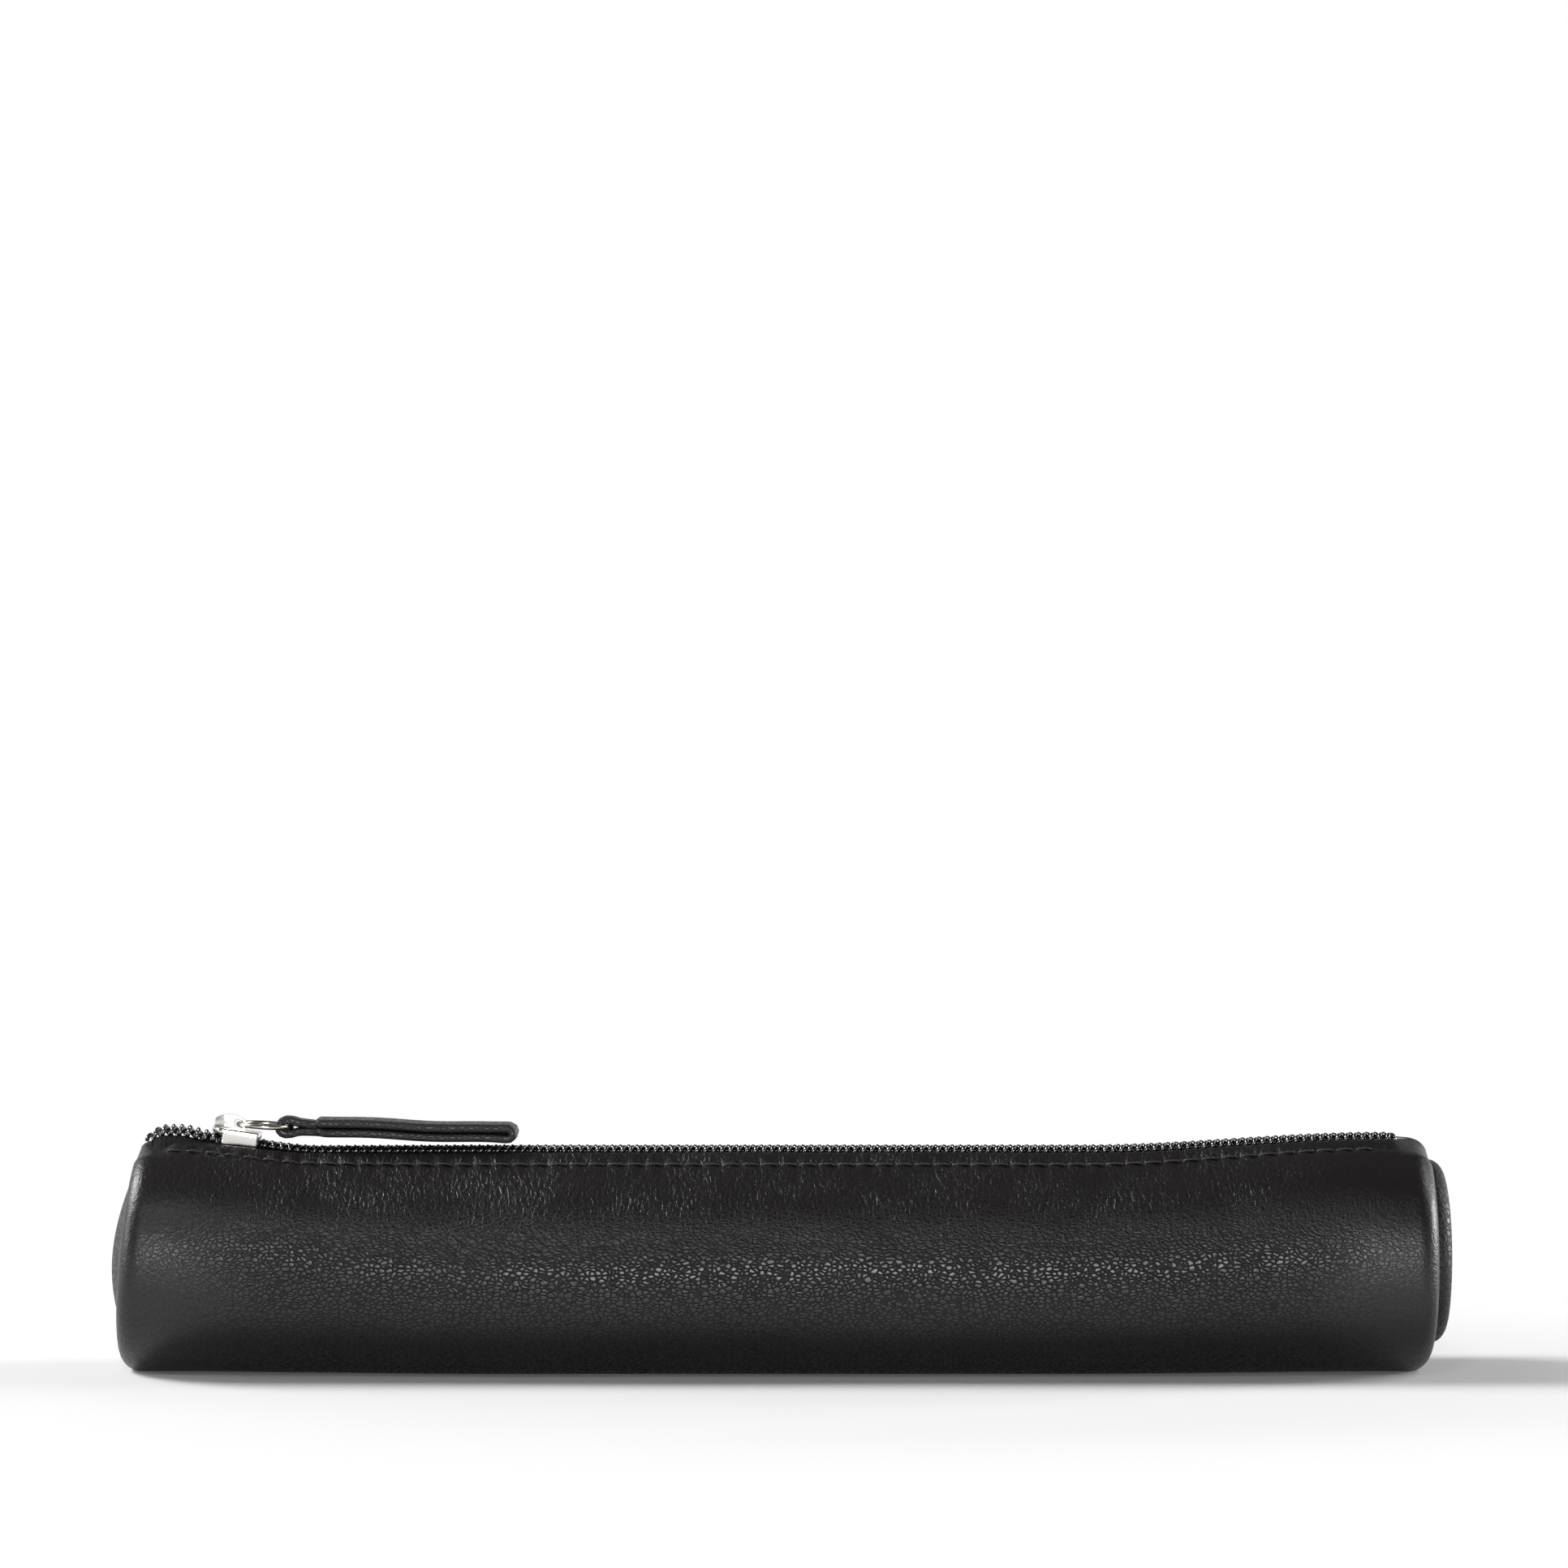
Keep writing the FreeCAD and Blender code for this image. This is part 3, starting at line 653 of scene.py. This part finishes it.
def zip_height(x, left_rise=ZIP_RISE):
    """Height of the tapes under the coils, which stand out of the leather at the left rim."""
    station = zip_station(x)
    rise = tape_corner(station, left_rise)[1] - LEAN_PIVOT
    proud = ZIP_PROUD * smooth_step(*PROUD_FROM, x) if left_rise == ZIP_RISE else 0.0
    dive = ZIP_DIVE * smooth_step(*DIVES, abs(x)) ** 2
    return LEAN_PIVOT + rise * math.cos(lean_of(station)) + proud - dive


def parting(x):
    """How far each coil stands from the middle, left of the slider."""
    return PARTING * smooth_step(*PARTS, x)


def tape_place(side):
    """Where a column and row of a tape's grid lie: level under the coil, then under the leather."""

    def place(column, row):
        x = ZIP_END * (2.0 * column / TAPE_COLUMNS - 1.0)
        outline = TubeOutline(zip_station(x))
        apart = TAPE_PARTING * parting(x)
        corner = max(outline.edge[0] - CORNER_INSIDE - mouth_closing(x, 0.0), CORNER_LEAST + apart)
        level = row / TAPE_ROWS * 2.0
        if level <= 1.0:
            inner = TAPE_GAP + apart
            y = inner + (corner - CORNER_ROUND - inner) * level
            z = zip_height(x)
        else:
            run = TAPE_UNDER_LEATHER * (level - 1.0)
            y = corner + run * outline.sin
            z = zip_height(x, LEATHER_RISE) + (CORNER_LIFT - run) * outline.cos
        return Vector((x, side * y, z)) * MM

    return place


def woven_tape():
    """Dull black weave with raised rows along and across."""
    material, kit, shader = new_material("zip_tape_weave")
    where = kit.object_place()
    rows = [kit.wave(where, WEAVE_SCALE, direction) for direction in ("X", "Y")]
    weave = kit.calculated("MAXIMUM", *rows)
    kit.feed(shader["Base Color"], kit.mixed(weave, TAPE_DARK, TAPE_LIGHT))
    kit.feed(shader["Normal"], kit.relief(weave, WEAVE_DEPTH))
    kit.feed(shader["Roughness"], TAPE_ROUGHNESS)
    kit.feed(shader["Specular IOR Level"], TAPE_SHINE)
    return material


def zip_share(co):
    return mouth_share(co.x)


ZIP_TAPE = woven_tape()
for name, side in SIDES:
    strip = mapped_grid(TAPE_COLUMNS, TAPE_ROWS, tape_place(side))
    bmesh.ops.recalc_face_normals(strip, faces=strip.faces)
    bmesh.ops.solidify(strip, geom=strip.faces[:], thickness=TAPE * MM)
    tape = finished(name + "_zip_tape", strip, (ZIP_TAPE,))
    bend_with_lip(tape, name + "_lip", zip_share)
    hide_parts(name + "_tape", name + "_tape_ends")


# Zip coils: one nylon filament on each side, wound into a flattened helix and sewn
# to its tape. The loops' heads hook between those of the other side; left of the
# slider the two coils stand apart.
COIL_PITCH = 1.24
COIL_FROM = 0.8 - ZIP_END
FILAMENT = 0.33
COIL_SPINE = 1.95
COIL_HEAD = 0.55
COIL_LOW = 0.25
COIL_HIGH = 2.03
TURN_STEPS = 14
ACROSS_POWER = 0.8
UPRIGHT_POWER = 0.7
HEADS_BETWEEN = 0.25
WEAR_SCALE = 900.0
NYLON_DARK = (0.006, 0.006, 0.007, 1)
NYLON_LIGHT = (0.014, 0.014, 0.016, 1)
NYLON_ROUGHNESS = (0.08, 0.16)
NYLON_IOR = 2.3


def tube_mesh(name, paths, radius, rounding, closed=False):
    """A round wire along each path, as one bmesh."""
    curve = bpy.data.curves.new(name, "CURVE")
    curve.dimensions = "3D"
    curve.bevel_depth = radius
    curve.bevel_resolution = rounding
    curve.use_fill_caps = True
    for path in paths:
        spline = curve.splines.new("POLY")
        spline.points.add(len(path) - 1)
        spline.use_cyclic_u = closed
        for point, co in zip(spline.points, path):
            point.co = (*co, 1.0)
    maker = bpy.data.objects.new(name, curve)
    bpy.context.scene.collection.objects.link(maker)
    bpy.context.view_layer.update()
    made = maker.evaluated_get(bpy.context.evaluated_depsgraph_get())
    mesh = bpy.data.meshes.new_from_object(made)
    bpy.data.objects.remove(maker)
    bpy.data.curves.remove(curve)
    bm = bmesh.new()
    bm.from_mesh(mesh)
    bpy.data.meshes.remove(mesh)
    bmesh.ops.recalc_face_normals(bm, faces=bm.faces)
    return bm


def squared(value, power):
    """A sine or cosine made blunter, so that a circle gets flatter sides."""
    return math.copysign(min(abs(value) ** power, 1.0), value)


def coil_path(side):
    """The filament's middle line, turn by turn."""
    points = []
    turns = int(-2 * COIL_FROM / COIL_PITCH)
    middle_y = (COIL_SPINE - COIL_HEAD) / 2
    half_y = (COIL_SPINE + COIL_HEAD) / 2 - FILAMENT
    middle_w = (COIL_LOW + COIL_HIGH) / 2
    half_w = (COIL_HIGH - COIL_LOW) / 2 - FILAMENT
    for step in range(turns * TURN_STEPS):
        a = 2.0 * math.pi * step / TURN_STEPS
        x = COIL_FROM + COIL_PITCH * (step / TURN_STEPS + HEADS_BETWEEN * side)
        y = middle_y + half_y * squared(math.cos(a), ACROSS_POWER) + parting(x)
        z = zip_height(x) + middle_w + half_w * squared(math.sin(a), UPRIGHT_POWER)
        points.append(Vector((x, side * y, z)) * MM)
    return points


def coil_nylon():
    """Glossy black nylon with slight wear."""
    material, kit, shader = new_material("coil_nylon")
    wear = kit.noise(kit.object_place(), WEAR_SCALE)
    kit.feed(shader["Base Color"], kit.mixed(wear, NYLON_DARK, NYLON_LIGHT))
    kit.feed(shader["Roughness"], kit.ramp(wear, (0.0, 1.0), NYLON_ROUGHNESS, "LINEAR"))
    kit.feed(shader["IOR"], NYLON_IOR)
    return material


NYLON = coil_nylon()
for name, side in SIDES:
    coil = finished(name + "_zip_coil", tube_mesh("coil", [coil_path(side)], FILAMENT * MM, 1), (NYLON,))
    bend_with_lip(coil, name + "_lip", zip_share)
    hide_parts(name + "_coil", name + "_coil_ends")


# Topstitching: one row of black thread beside each mouth edge, sewn through leather
# and tape. Each stitch goes down into its holes and lies in a slight hollow.
THREAD = 0.19
STITCH_END = 90.5
STITCH_SHAPE = ((0.05, 0.75), (0.14, 0.2), (0.3, 0.06), (0.5, 0.03), (0.7, 0.06), (0.86, 0.2), (0.95, 0.75))
TWIST_SCALE = 900.0
TWIST_DEPTH = 0.00004
THREAD_DARK = (0.008, 0.007, 0.008, 1)
THREAD_LIGHT = (0.028, 0.026, 0.028, 1)
THREAD_ROUGHNESS = 0.5


def stitch_point(side, x, sink):
    """A point of the thread at x, sunk into the leather."""
    station = x
    for _ in range(SETTLING_ROUNDS):
        outline = TubeOutline(station)
        share = 1.0 - STITCH_FROM_EDGE / outline.roof
        y, z = outline.roof_at(share, sink)
        station = x - (z - LEAN_PIVOT) * math.sin(lean_of(station))
    return leaned(station, station, side * y, z)


def stitch_paths(side):
    """One path for each stitch of a row."""
    paths = []
    for i in range(int(2 * STITCH_END / STITCH_PITCH)):
        start = -STITCH_END + i * STITCH_PITCH
        paths.append([stitch_point(side, start + STITCH_PITCH * t, sink) for t, sink in STITCH_SHAPE])
    return paths


def black_thread():
    """Twisted black thread."""
    material, kit, shader = new_material("black_thread")
    twist = kit.wave(kit.object_place(), TWIST_SCALE, "DIAGONAL")
    kit.feed(shader["Base Color"], kit.mixed(twist, THREAD_DARK, THREAD_LIGHT))
    kit.feed(shader["Normal"], kit.relief(twist, TWIST_DEPTH))
    kit.feed(shader["Roughness"], THREAD_ROUGHNESS)
    return material


THREAD_MATERIAL = black_thread()
for name, side in SIDES:
    thread = tube_mesh("stitches", stitch_paths(side), THREAD * MM, 1)
    stitches = finished(name + "_topstitching", thread, (THREAD_MATERIAL,))
    bend_with_lip(stitches, name + "_lip", zip_share)


# Slider: a small polished casting. Upper plate with side flanges, wedge post, lower
# plate, and a humped bail with the eye for the ring. It rides on the closed coils.
SLIDER_X = -81.0
SLOPE_REACH = 2.0
PLATE_UNDER = 2.1
PLATE_TOP = 2.85
FLANGE_UNDER = 0.5
FLANGE_WALL = 0.65
LOWER_TOP = -0.7
LOWER_UNDER = -1.5
LOWER_INSET = 0.35
LOWER_FRONT_BACK = 0.2
LOWER_MOUTH_BACK = 0.3
PARTS_OVERLAP = 0.1
BAIL_WIDTH = 1.8
BAIL_ENDS = (-3.4, 1.2)
BAIL_SHOULDER = 3.9
HUMP_MIDDLE = (-1.1, 3.62)
HUMP_RADII = (2.36, 1.23)
HUMP_FROM = 15.0
HUMP_TURN = 150.0
HUMP_STEPS = 10
EYE = (0.1, 3.65)
EYE_RADIUS = 0.62
EYE_STEPS = 20
SLIDER_SIDE = ((3.5, 3.0), (0.8, 3.1), (-1.7, 3.85))
SLIDER_MOUTH = ((-2.4, 3.7), (-3.1, 2.9), (-3.55, 1.6), (-3.7, 0.0))
POST_OUTLINE = ((-0.7, 0.0), (-2.85, 0.45), (-3.2, 0.3), (-3.3, 0.0), (-3.2, -0.3), (-2.85, -0.45))
SHARP_EDGE = math.radians(35.0)
SMOOTH_BELOW = math.radians(32)
UPPER_ROUNDING = (0.22, 3)
LOWER_ROUNDING = (0.18, 2)
BAIL_ROUNDING = (0.2, 3)

drop = zip_height(SLIDER_X - SLOPE_REACH) - zip_height(SLIDER_X + SLOPE_REACH)
slope = math.atan2(drop, 2 * SLOPE_REACH)
seat = Vector((SLIDER_X, 0.0, zip_height(SLIDER_X)))
ON_ZIP = Matrix.Scale(MM, 4) @ Matrix.Translation(seat) @ Matrix.Rotation(slope, 4, "Y")


def rounded(bm, offset, segments):
    """Round every sharp edge of a casting."""
    edges = [e for e in bm.edges if len(e.link_faces) == 2 and e.calc_face_angle() > SHARP_EDGE]
    bmesh.ops.bevel(
        bm, geom=edges, offset=offset, offset_type="OFFSET", segments=segments, profile=0.5,
        affect="EDGES", clamp_overlap=True, material=-1,
    )


def extruded(bm, faces, way):
    """Extrude flat faces straight along a vector."""
    grown = bmesh.ops.extrude_face_region(bm, geom=faces)["geom"]
    moved = [g for g in grown if isinstance(g, bmesh.types.BMVert)]
    bmesh.ops.translate(bm, verts=moved, vec=way)


def upper_plate():
    """Plate and flanges in one: the plan is raised, then its side strips drop."""
    bm = bmesh.new()

    def corner(u, v):
        return bm.verts.new((u, v, PLATE_UNDER))

    strips, inner, outer = [], {}, {}
    for side in (-1, 1):
        outer[side] = [corner(u, side * v) for u, v in SLIDER_SIDE]
        inner[side] = [corner(u, side * (v - FLANGE_WALL)) for u, v in SLIDER_SIDE]
        for i in range(2):
            strip = (outer[side][i], outer[side][i + 1], inner[side][i + 1], inner[side][i])
            strips.append(bm.faces.new(strip))
    near_mouth = [corner(u, -v) for u, v in SLIDER_MOUTH]
    far_mouth = [corner(u, v) for u, v in SLIDER_MOUTH[:-1]]
    near = inner[-1] + [outer[-1][2]] + near_mouth
    far = far_mouth[::-1] + [outer[1][2]] + inner[1][::-1]
    plan = strips + [bm.faces.new(near + far)]
    bmesh.ops.recalc_face_normals(bm, faces=bm.faces)
    extruded(bm, plan, (0.0, 0.0, PLATE_TOP - PLATE_UNDER))
    under = []
    for face in bm.faces:
        lies_under = all(abs(v.co.z - PLATE_UNDER) < SAME_POINT for v in face.verts)
        if lies_under and len(face.verts) == 4:
            under.append(face)
    extruded(bm, under, (0.0, 0.0, FLANGE_UNDER - PLATE_UNDER))
    bmesh.ops.recalc_face_normals(bm, faces=bm.faces)
    return bm


def slab(points, low, high):
    """A flat outline in u, v, raised from low to high."""
    bm = bmesh.new()
    bm.faces.new([bm.verts.new((u, v, low)) for u, v in points])
    extruded(bm, bm.faces[:], (0.0, 0.0, high - low))
    bmesh.ops.recalc_face_normals(bm, faces=bm.faces)
    return bm


def lower_plate():
    """The lower plate, a little smaller than the upper one."""
    half_plan = [(u - LOWER_FRONT_BACK, v - LOWER_INSET) for u, v in SLIDER_SIDE]
    half_plan += [(u + LOWER_MOUTH_BACK, max(v - LOWER_INSET, 0.0)) for u, v in SLIDER_MOUTH]
    other_half = [(u, -v) for u, v in half_plan[::-1] if v > 0.0]
    return slab(half_plan + other_half, LOWER_UNDER, LOWER_TOP)


def bail():
    """Hump with the ring's eye, drawn in u, w and made as wide as the bail."""
    bm = bmesh.new()
    back, front = BAIL_ENDS
    foot = PLATE_TOP - PARTS_OVERLAP
    outline = [(back, foot), (front, foot), (front, BAIL_SHOULDER)]
    for step in range(HUMP_STEPS + 1):
        a = math.radians(HUMP_FROM + HUMP_TURN * step / HUMP_STEPS)
        u = HUMP_MIDDLE[0] + HUMP_RADII[0] * math.cos(a)
        outline.append((u, HUMP_MIDDLE[1] + HUMP_RADII[1] * math.sin(a)))
    outline.append((back, BAIL_SHOULDER))
    rim = [bm.verts.new((u, -BAIL_WIDTH / 2, w)) for u, w in outline]
    edges = [bm.edges.new(pair) for pair in zip(rim, rim[1:] + rim[:1])]
    hole = bmesh.ops.create_circle(bm, segments=EYE_STEPS, radius=EYE_RADIUS)["verts"]
    bmesh.ops.rotate(bm, verts=hole, cent=(0, 0, 0), matrix=Matrix.Rotation(math.radians(90), 3, "X"))
    bmesh.ops.translate(bm, verts=hole, vec=(EYE[0], -BAIL_WIDTH / 2, EYE[1]))
    edges += list({e for v in hole for e in v.link_edges})
    bmesh.ops.triangle_fill(bm, edges=edges, use_beauty=True)
    extruded(bm, bm.faces[:], (0.0, BAIL_WIDTH, 0.0))
    bmesh.ops.recalc_face_normals(bm, faces=bm.faces)
    return bm


HAZE_SCALE = 700.0
HAZE_ROUGHNESS = 0.12


def polished_metal(name, colour, rough):
    """Plated metal: mirror-like, with faint polishing marks."""
    material, kit, shader = new_material(name)
    haze = kit.noise(kit.object_place(), HAZE_SCALE, detail=3.0)
    kit.feed(shader["Roughness"], kit.ramp(haze, (0.0, 1.0), (rough, rough + HAZE_ROUGHNESS), "LINEAR"))
    kit.feed(shader["Base Color"], colour)
    kit.feed(shader["Metallic"], 1.0)
    return material


NICKEL = polished_metal("polished_nickel", colour=(0.66, 0.65, 0.63, 1), rough=0.14)
post = slab(POST_OUTLINE, LOWER_TOP - PARTS_OVERLAP, PLATE_UNDER + PARTS_OVERLAP)
slider_parts = (
    (upper_plate(), UPPER_ROUNDING),
    (lower_plate(), LOWER_ROUNDING),
    (post, None),
    (bail(), BAIL_ROUNDING),
)
casting = bmesh.new()
for part, rounding in slider_parts:
    if rounding:
        rounded(part, *rounding)
    held = bpy.data.meshes.new("slider_part")
    part.to_mesh(held)
    part.free()
    casting.from_mesh(held)
    bpy.data.meshes.remove(held)
bmesh.ops.transform(casting, matrix=ON_ZIP, verts=casting.verts)
slider = finished("zip_slider", casting, (NICKEL,))
slider.data.set_sharp_from_angle(angle=SMOOTH_BELOW)
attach(slider, "slider")
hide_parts("slider_body")


# Pull ring: a closed ring of polished wire through the bail's eye. It lies almost
# flat, and its far side carries the loop of the pull.
RING_RADIUS = 3.95
RING_WIRE = 0.75
RING_DIP = math.radians(3.5)
RING_STEPS = 72

eye = ON_ZIP @ Vector((EYE[0], 0.0, EYE[1])) / MM
lying = Vector((math.cos(RING_DIP), 0.0, -math.sin(RING_DIP)))
ring_far = eye + lying * 2 * RING_RADIUS
ring_middle = (eye + ring_far) / 2
circle = []
for step in range(RING_STEPS):
    a = 2.0 * math.pi * step / RING_STEPS
    spoke = lying * math.cos(a) + Vector((0.0, math.sin(a), 0.0))
    circle.append((ring_middle + spoke * RING_RADIUS) * MM)
RING_METAL = polished_metal("polished_ring_wire", colour=(0.64, 0.60, 0.54, 1), rough=0.18)
wire = tube_mesh("ring", [circle], RING_WIRE / 2 * MM, 4, closed=True)
ring = finished("ring_of_pull", wire, (RING_METAL,))
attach(ring, "ring")
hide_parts("pull_ring")


# Pull: a strip of black leather, folded over at its end. Its lower layer narrows to
# a neck that loops through the ring and is tucked in between the two layers.
LAYER = 1.34
LAYER_GAP = LAYER / 2 + 0.03
PULL_WIDTH = 8.0
NECK_WIDTH = 3.8
NECK_LAYER = 1.24
NECK_TAPER = 0.8
NECK_EARLY = 0.6
FOLD_RADIUS = 1.45
FOLD_MIDDLE = FOLD_RADIUS - LAYER / 2
FOLD_OPENS = (0.9, 1.0)
PULL_LENGTH = 32.4
SHOULDER = 4.0
PULL_DROP = 0.85
PULL_WAVE = 0.18
PULL_WAVES = 2.4
LOOP_RADIUS = 1.05
LOOP_BEHIND = 0.75
NECK_UNDER = ((1.8, 0.64), (0.9, 0.72), (0.2, 0.95))
NECK_OVER = ((0.2, 0.95), (0.9, 0.70), (1.8, 0.56), (SHOULDER, 0.3), (SHOULDER + 3.0, 0.0))
LAYER_STEPS = 30
ROUND_STEPS = 12
PULL_COLUMNS = 150
PULL_SECTION = 20
WIDTH_POWER = 0.25
THICKNESS_POWER = 0.45
SAME_PULL_POINT = 0.000002

shoulder_x = ring_far.x + SHOULDER
fold_x = ring_far.x + PULL_LENGTH
fold_z = ring_far.z - PULL_DROP
neck_from = 2 * (PULL_LENGTH - SHOULDER) + math.pi * FOLD_MIDDLE - NECK_EARLY


def layer_point(t, way):
    """Point of the upper or lower layer (way 1 or -1), from the shoulder to the fold."""
    apart = LAYER_GAP + (FOLD_MIDDLE - LAYER_GAP) * smooth_step(*FOLD_OPENS, t)
    wave = PULL_WAVE * math.sin(PULL_WAVES * math.pi * t) * math.sin(math.pi * t)
    x = shoulder_x + (fold_x - shoulder_x) * t
    return (x, ring_far.z - PULL_DROP * t + way * apart + wave)


def pull_line():
    """Middle line of the strip in X, Z, from the upper layer's end to the tucked end."""
    line = [layer_point(step / LAYER_STEPS, 1) for step in range(LAYER_STEPS + 1)]
    for step in range(1, ROUND_STEPS):
        a = math.radians(90.0 - 180.0 * step / ROUND_STEPS)
        line.append((fold_x + FOLD_MIDDLE * math.cos(a), fold_z + FOLD_MIDDLE * math.sin(a)))
    line += [layer_point(1.0 - step / LAYER_STEPS, -1) for step in range(LAYER_STEPS + 1)]
    line += [(ring_far.x + ahead, ring_far.z - fall) for ahead, fall in NECK_UNDER]
    for step in range(ROUND_STEPS + 1):
        a = math.radians(-90.0 - 180.0 * step / ROUND_STEPS)
        x = ring_far.x - LOOP_BEHIND + LOOP_RADIUS * math.cos(a)
        line.append((x, ring_far.z + LOOP_RADIUS * math.sin(a)))
    line += [(ring_far.x + ahead, ring_far.z + rise) for ahead, rise in NECK_OVER]
    return [Vector(point) for point in line]


PULL_LINE = pull_line()
runs = [0.0]
for a, b in zip(PULL_LINE, PULL_LINE[1:]):
    runs.append(runs[-1] + (b - a).length)


def on_pull_line(run):
    """Point and direction at a distance along the strip."""
    i = 0
    while i < len(runs) - 2 and runs[i + 1] < run:
        i += 1
    t = (run - runs[i]) / (runs[i + 1] - runs[i])
    point = PULL_LINE[i].lerp(PULL_LINE[i + 1], t)
    before = PULL_LINE[max(i - 1, 0)]
    after = PULL_LINE[min(i + 2, len(PULL_LINE) - 1)]
    return point, (after - before).normalized()


def pull_place(column, row):
    """Where a column along the strip and a row round its section lie."""
    run = runs[-1] * column / PULL_COLUMNS
    point, along = on_pull_line(run)
    narrow = smooth_step(neck_from - NECK_TAPER, neck_from + NECK_TAPER, run)
    width = PULL_WIDTH + (NECK_WIDTH - PULL_WIDTH) * narrow
    layer = LAYER + (NECK_LAYER - LAYER) * narrow
    a = 2.0 * math.pi * row / PULL_SECTION
    across = width / 2 * squared(math.cos(a), WIDTH_POWER)
    thick = layer / 2 * squared(math.sin(a), THICKNESS_POWER)
    at = point + Vector((-along.y, along.x)) * thick
    return Vector((at.x, across, at.y)) * MM


strip = mapped_grid(PULL_COLUMNS, PULL_SECTION, pull_place)
bmesh.ops.remove_doubles(strip, verts=strip.verts, dist=SAME_PULL_POINT)
bmesh.ops.holes_fill(strip, edges=[e for e in strip.edges if e.is_boundary])
bmesh.ops.recalc_face_normals(strip, faces=strip.faces)
PULL_LEATHER = black_leather(
    "pull_leather", dark=(0.0060, 0.0048, 0.0055, 1), light=(0.014, 0.0115, 0.0125, 1),
    rough=0.34, cells=1500.0, bump=0.00005,
)
pull = finished("leather_pull", strip, (PULL_LEATHER,))
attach(pull, "pull")
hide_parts("pull_tab")


# Set: a plain white table that fades into a white surround, soft light from both
# sides and the front, and a level camera in front of the case.
FLOOR_SIZE = 6.0
FLOOR_COLOUR = (0.9, 0.9, 0.9, 1)
FLOOR_ROUGHNESS = 0.9
FADE_SHAPE = (1.0, 1.6, 1.0)
FADE = (0.105, 0.19)
LAMPS_AIM_AT = Vector((0.0, 0.0, 0.02))
CEILING_FADE = (0.2, 0.6)
CEILING_STRENGTH = 0.09
ROOM_FADE = (-0.3, 0.3)
ROOM_STRENGTH = 0.3
DIFFUSE_STRENGTH = 0.5
CAMERA_AT = (0.0011, -0.7275, 0.0873)
LENS = 111.8
SENSOR_WIDTH = 36.0

floor_bm = bmesh.new()
bmesh.ops.create_grid(floor_bm, x_segments=1, y_segments=1, size=FLOOR_SIZE / 2)
floor_material, kit, floor_shader = new_material("white_table")
kit.feed(floor_shader["Base Color"], FLOOR_COLOUR)
kit.feed(floor_shader["Roughness"], FLOOR_ROUGHNESS)
oval = kit.added("VectorMath", {0: kit.object_place(), 1: FADE_SHAPE}, operation="MULTIPLY")["Vector"]
away = kit.added("VectorMath", {0: oval}, operation="LENGTH")["Value"]
white = kit.added("Emission", {})["Emission"]
table = kit.nodes["Principled BSDF"].outputs["BSDF"]
faded = kit.added("MixShader", {0: kit.ramp(away, FADE, (0.0, 1.0)), 1: table, 2: white})["Shader"]
kit.feed(kit.nodes["Material Output"].inputs["Surface"], faded)
floor = finished("table", floor_bm, (floor_material,))


def soft_box(name, at, size, power):
    """A rectangular lamp that points at the case."""
    light = bpy.data.lights.new(name, "AREA")
    light.shape = "RECTANGLE"
    light.size, light.size_y = size
    light.energy = power
    lamp = bpy.data.objects.new(name, light)
    lamp.location = at
    lamp.rotation_euler = (LAMPS_AIM_AT - Vector(at)).to_track_quat("-Z", "Y").to_euler()
    bpy.context.scene.collection.objects.link(lamp)


soft_box("upper_left", at=(-0.95, 0.20, 0.85), size=(0.5, 0.5), power=16.0)
soft_box("upper_right", at=(0.95, 0.25, 0.85), size=(0.5, 0.5), power=3.0)
soft_box("left_low", at=(-1.2, -0.06, 0.30), size=(0.3, 0.35), power=3.2)
soft_box("right_low", at=(1.05, 0.30, 0.22), size=(0.3, 0.35), power=7.0)
soft_box("front_band", at=(0.05, -1.15, 0.20), size=(0.36, 0.24), power=5.0)
soft_box("front_glint", at=(-0.10, -0.75, 0.80), size=(0.16, 0.12), power=0.9)

world = bpy.data.worlds.new("white_surround")
world.use_nodes = True
kit = NodeKit(world.node_tree)
seen = kit.added("LightPath", {})
shown = kit.calculated("MAXIMUM", seen["Is Camera Ray"], seen["Is Glossy Ray"])
shown = kit.calculated("MAXIMUM", shown, seen["Is Transmission Ray"])
axis = kit.added("SeparateXYZ", {"Vector": kit.added("TexCoord", {})["Generated"]})
ceiling = kit.ramp(axis["Z"], CEILING_FADE, (1.0, CEILING_STRENGTH))
room = kit.ramp(axis["Y"], ROOM_FADE, (ROOM_STRENGTH, 1.0))
level = kit.ramp(shown, (0.0, 1.0), (DIFFUSE_STRENGTH, 1.0), "LINEAR")
dimmed = kit.calculated("MULTIPLY", ceiling, level)
dimmed = kit.calculated("MULTIPLY", dimmed, room)
background = kit.nodes["Background"].inputs
kit.feed(background["Strength"], kit.calculated("MAXIMUM", dimmed, seen["Is Camera Ray"]))
kit.feed(background["Color"], (1, 1, 1, 1))
bpy.context.scene.world = world

camera_data = bpy.data.cameras.new("camera")
camera_data.lens = LENS
camera_data.sensor_width = SENSOR_WIDTH
camera = bpy.data.objects.new("camera", camera_data)
camera.location = CAMERA_AT
camera.rotation_euler = (math.radians(90.0), 0.0, 0.0)
bpy.context.scene.collection.objects.link(camera)
bpy.context.scene.camera = camera
bpy.context.scene.view_settings.view_transform = "Standard"
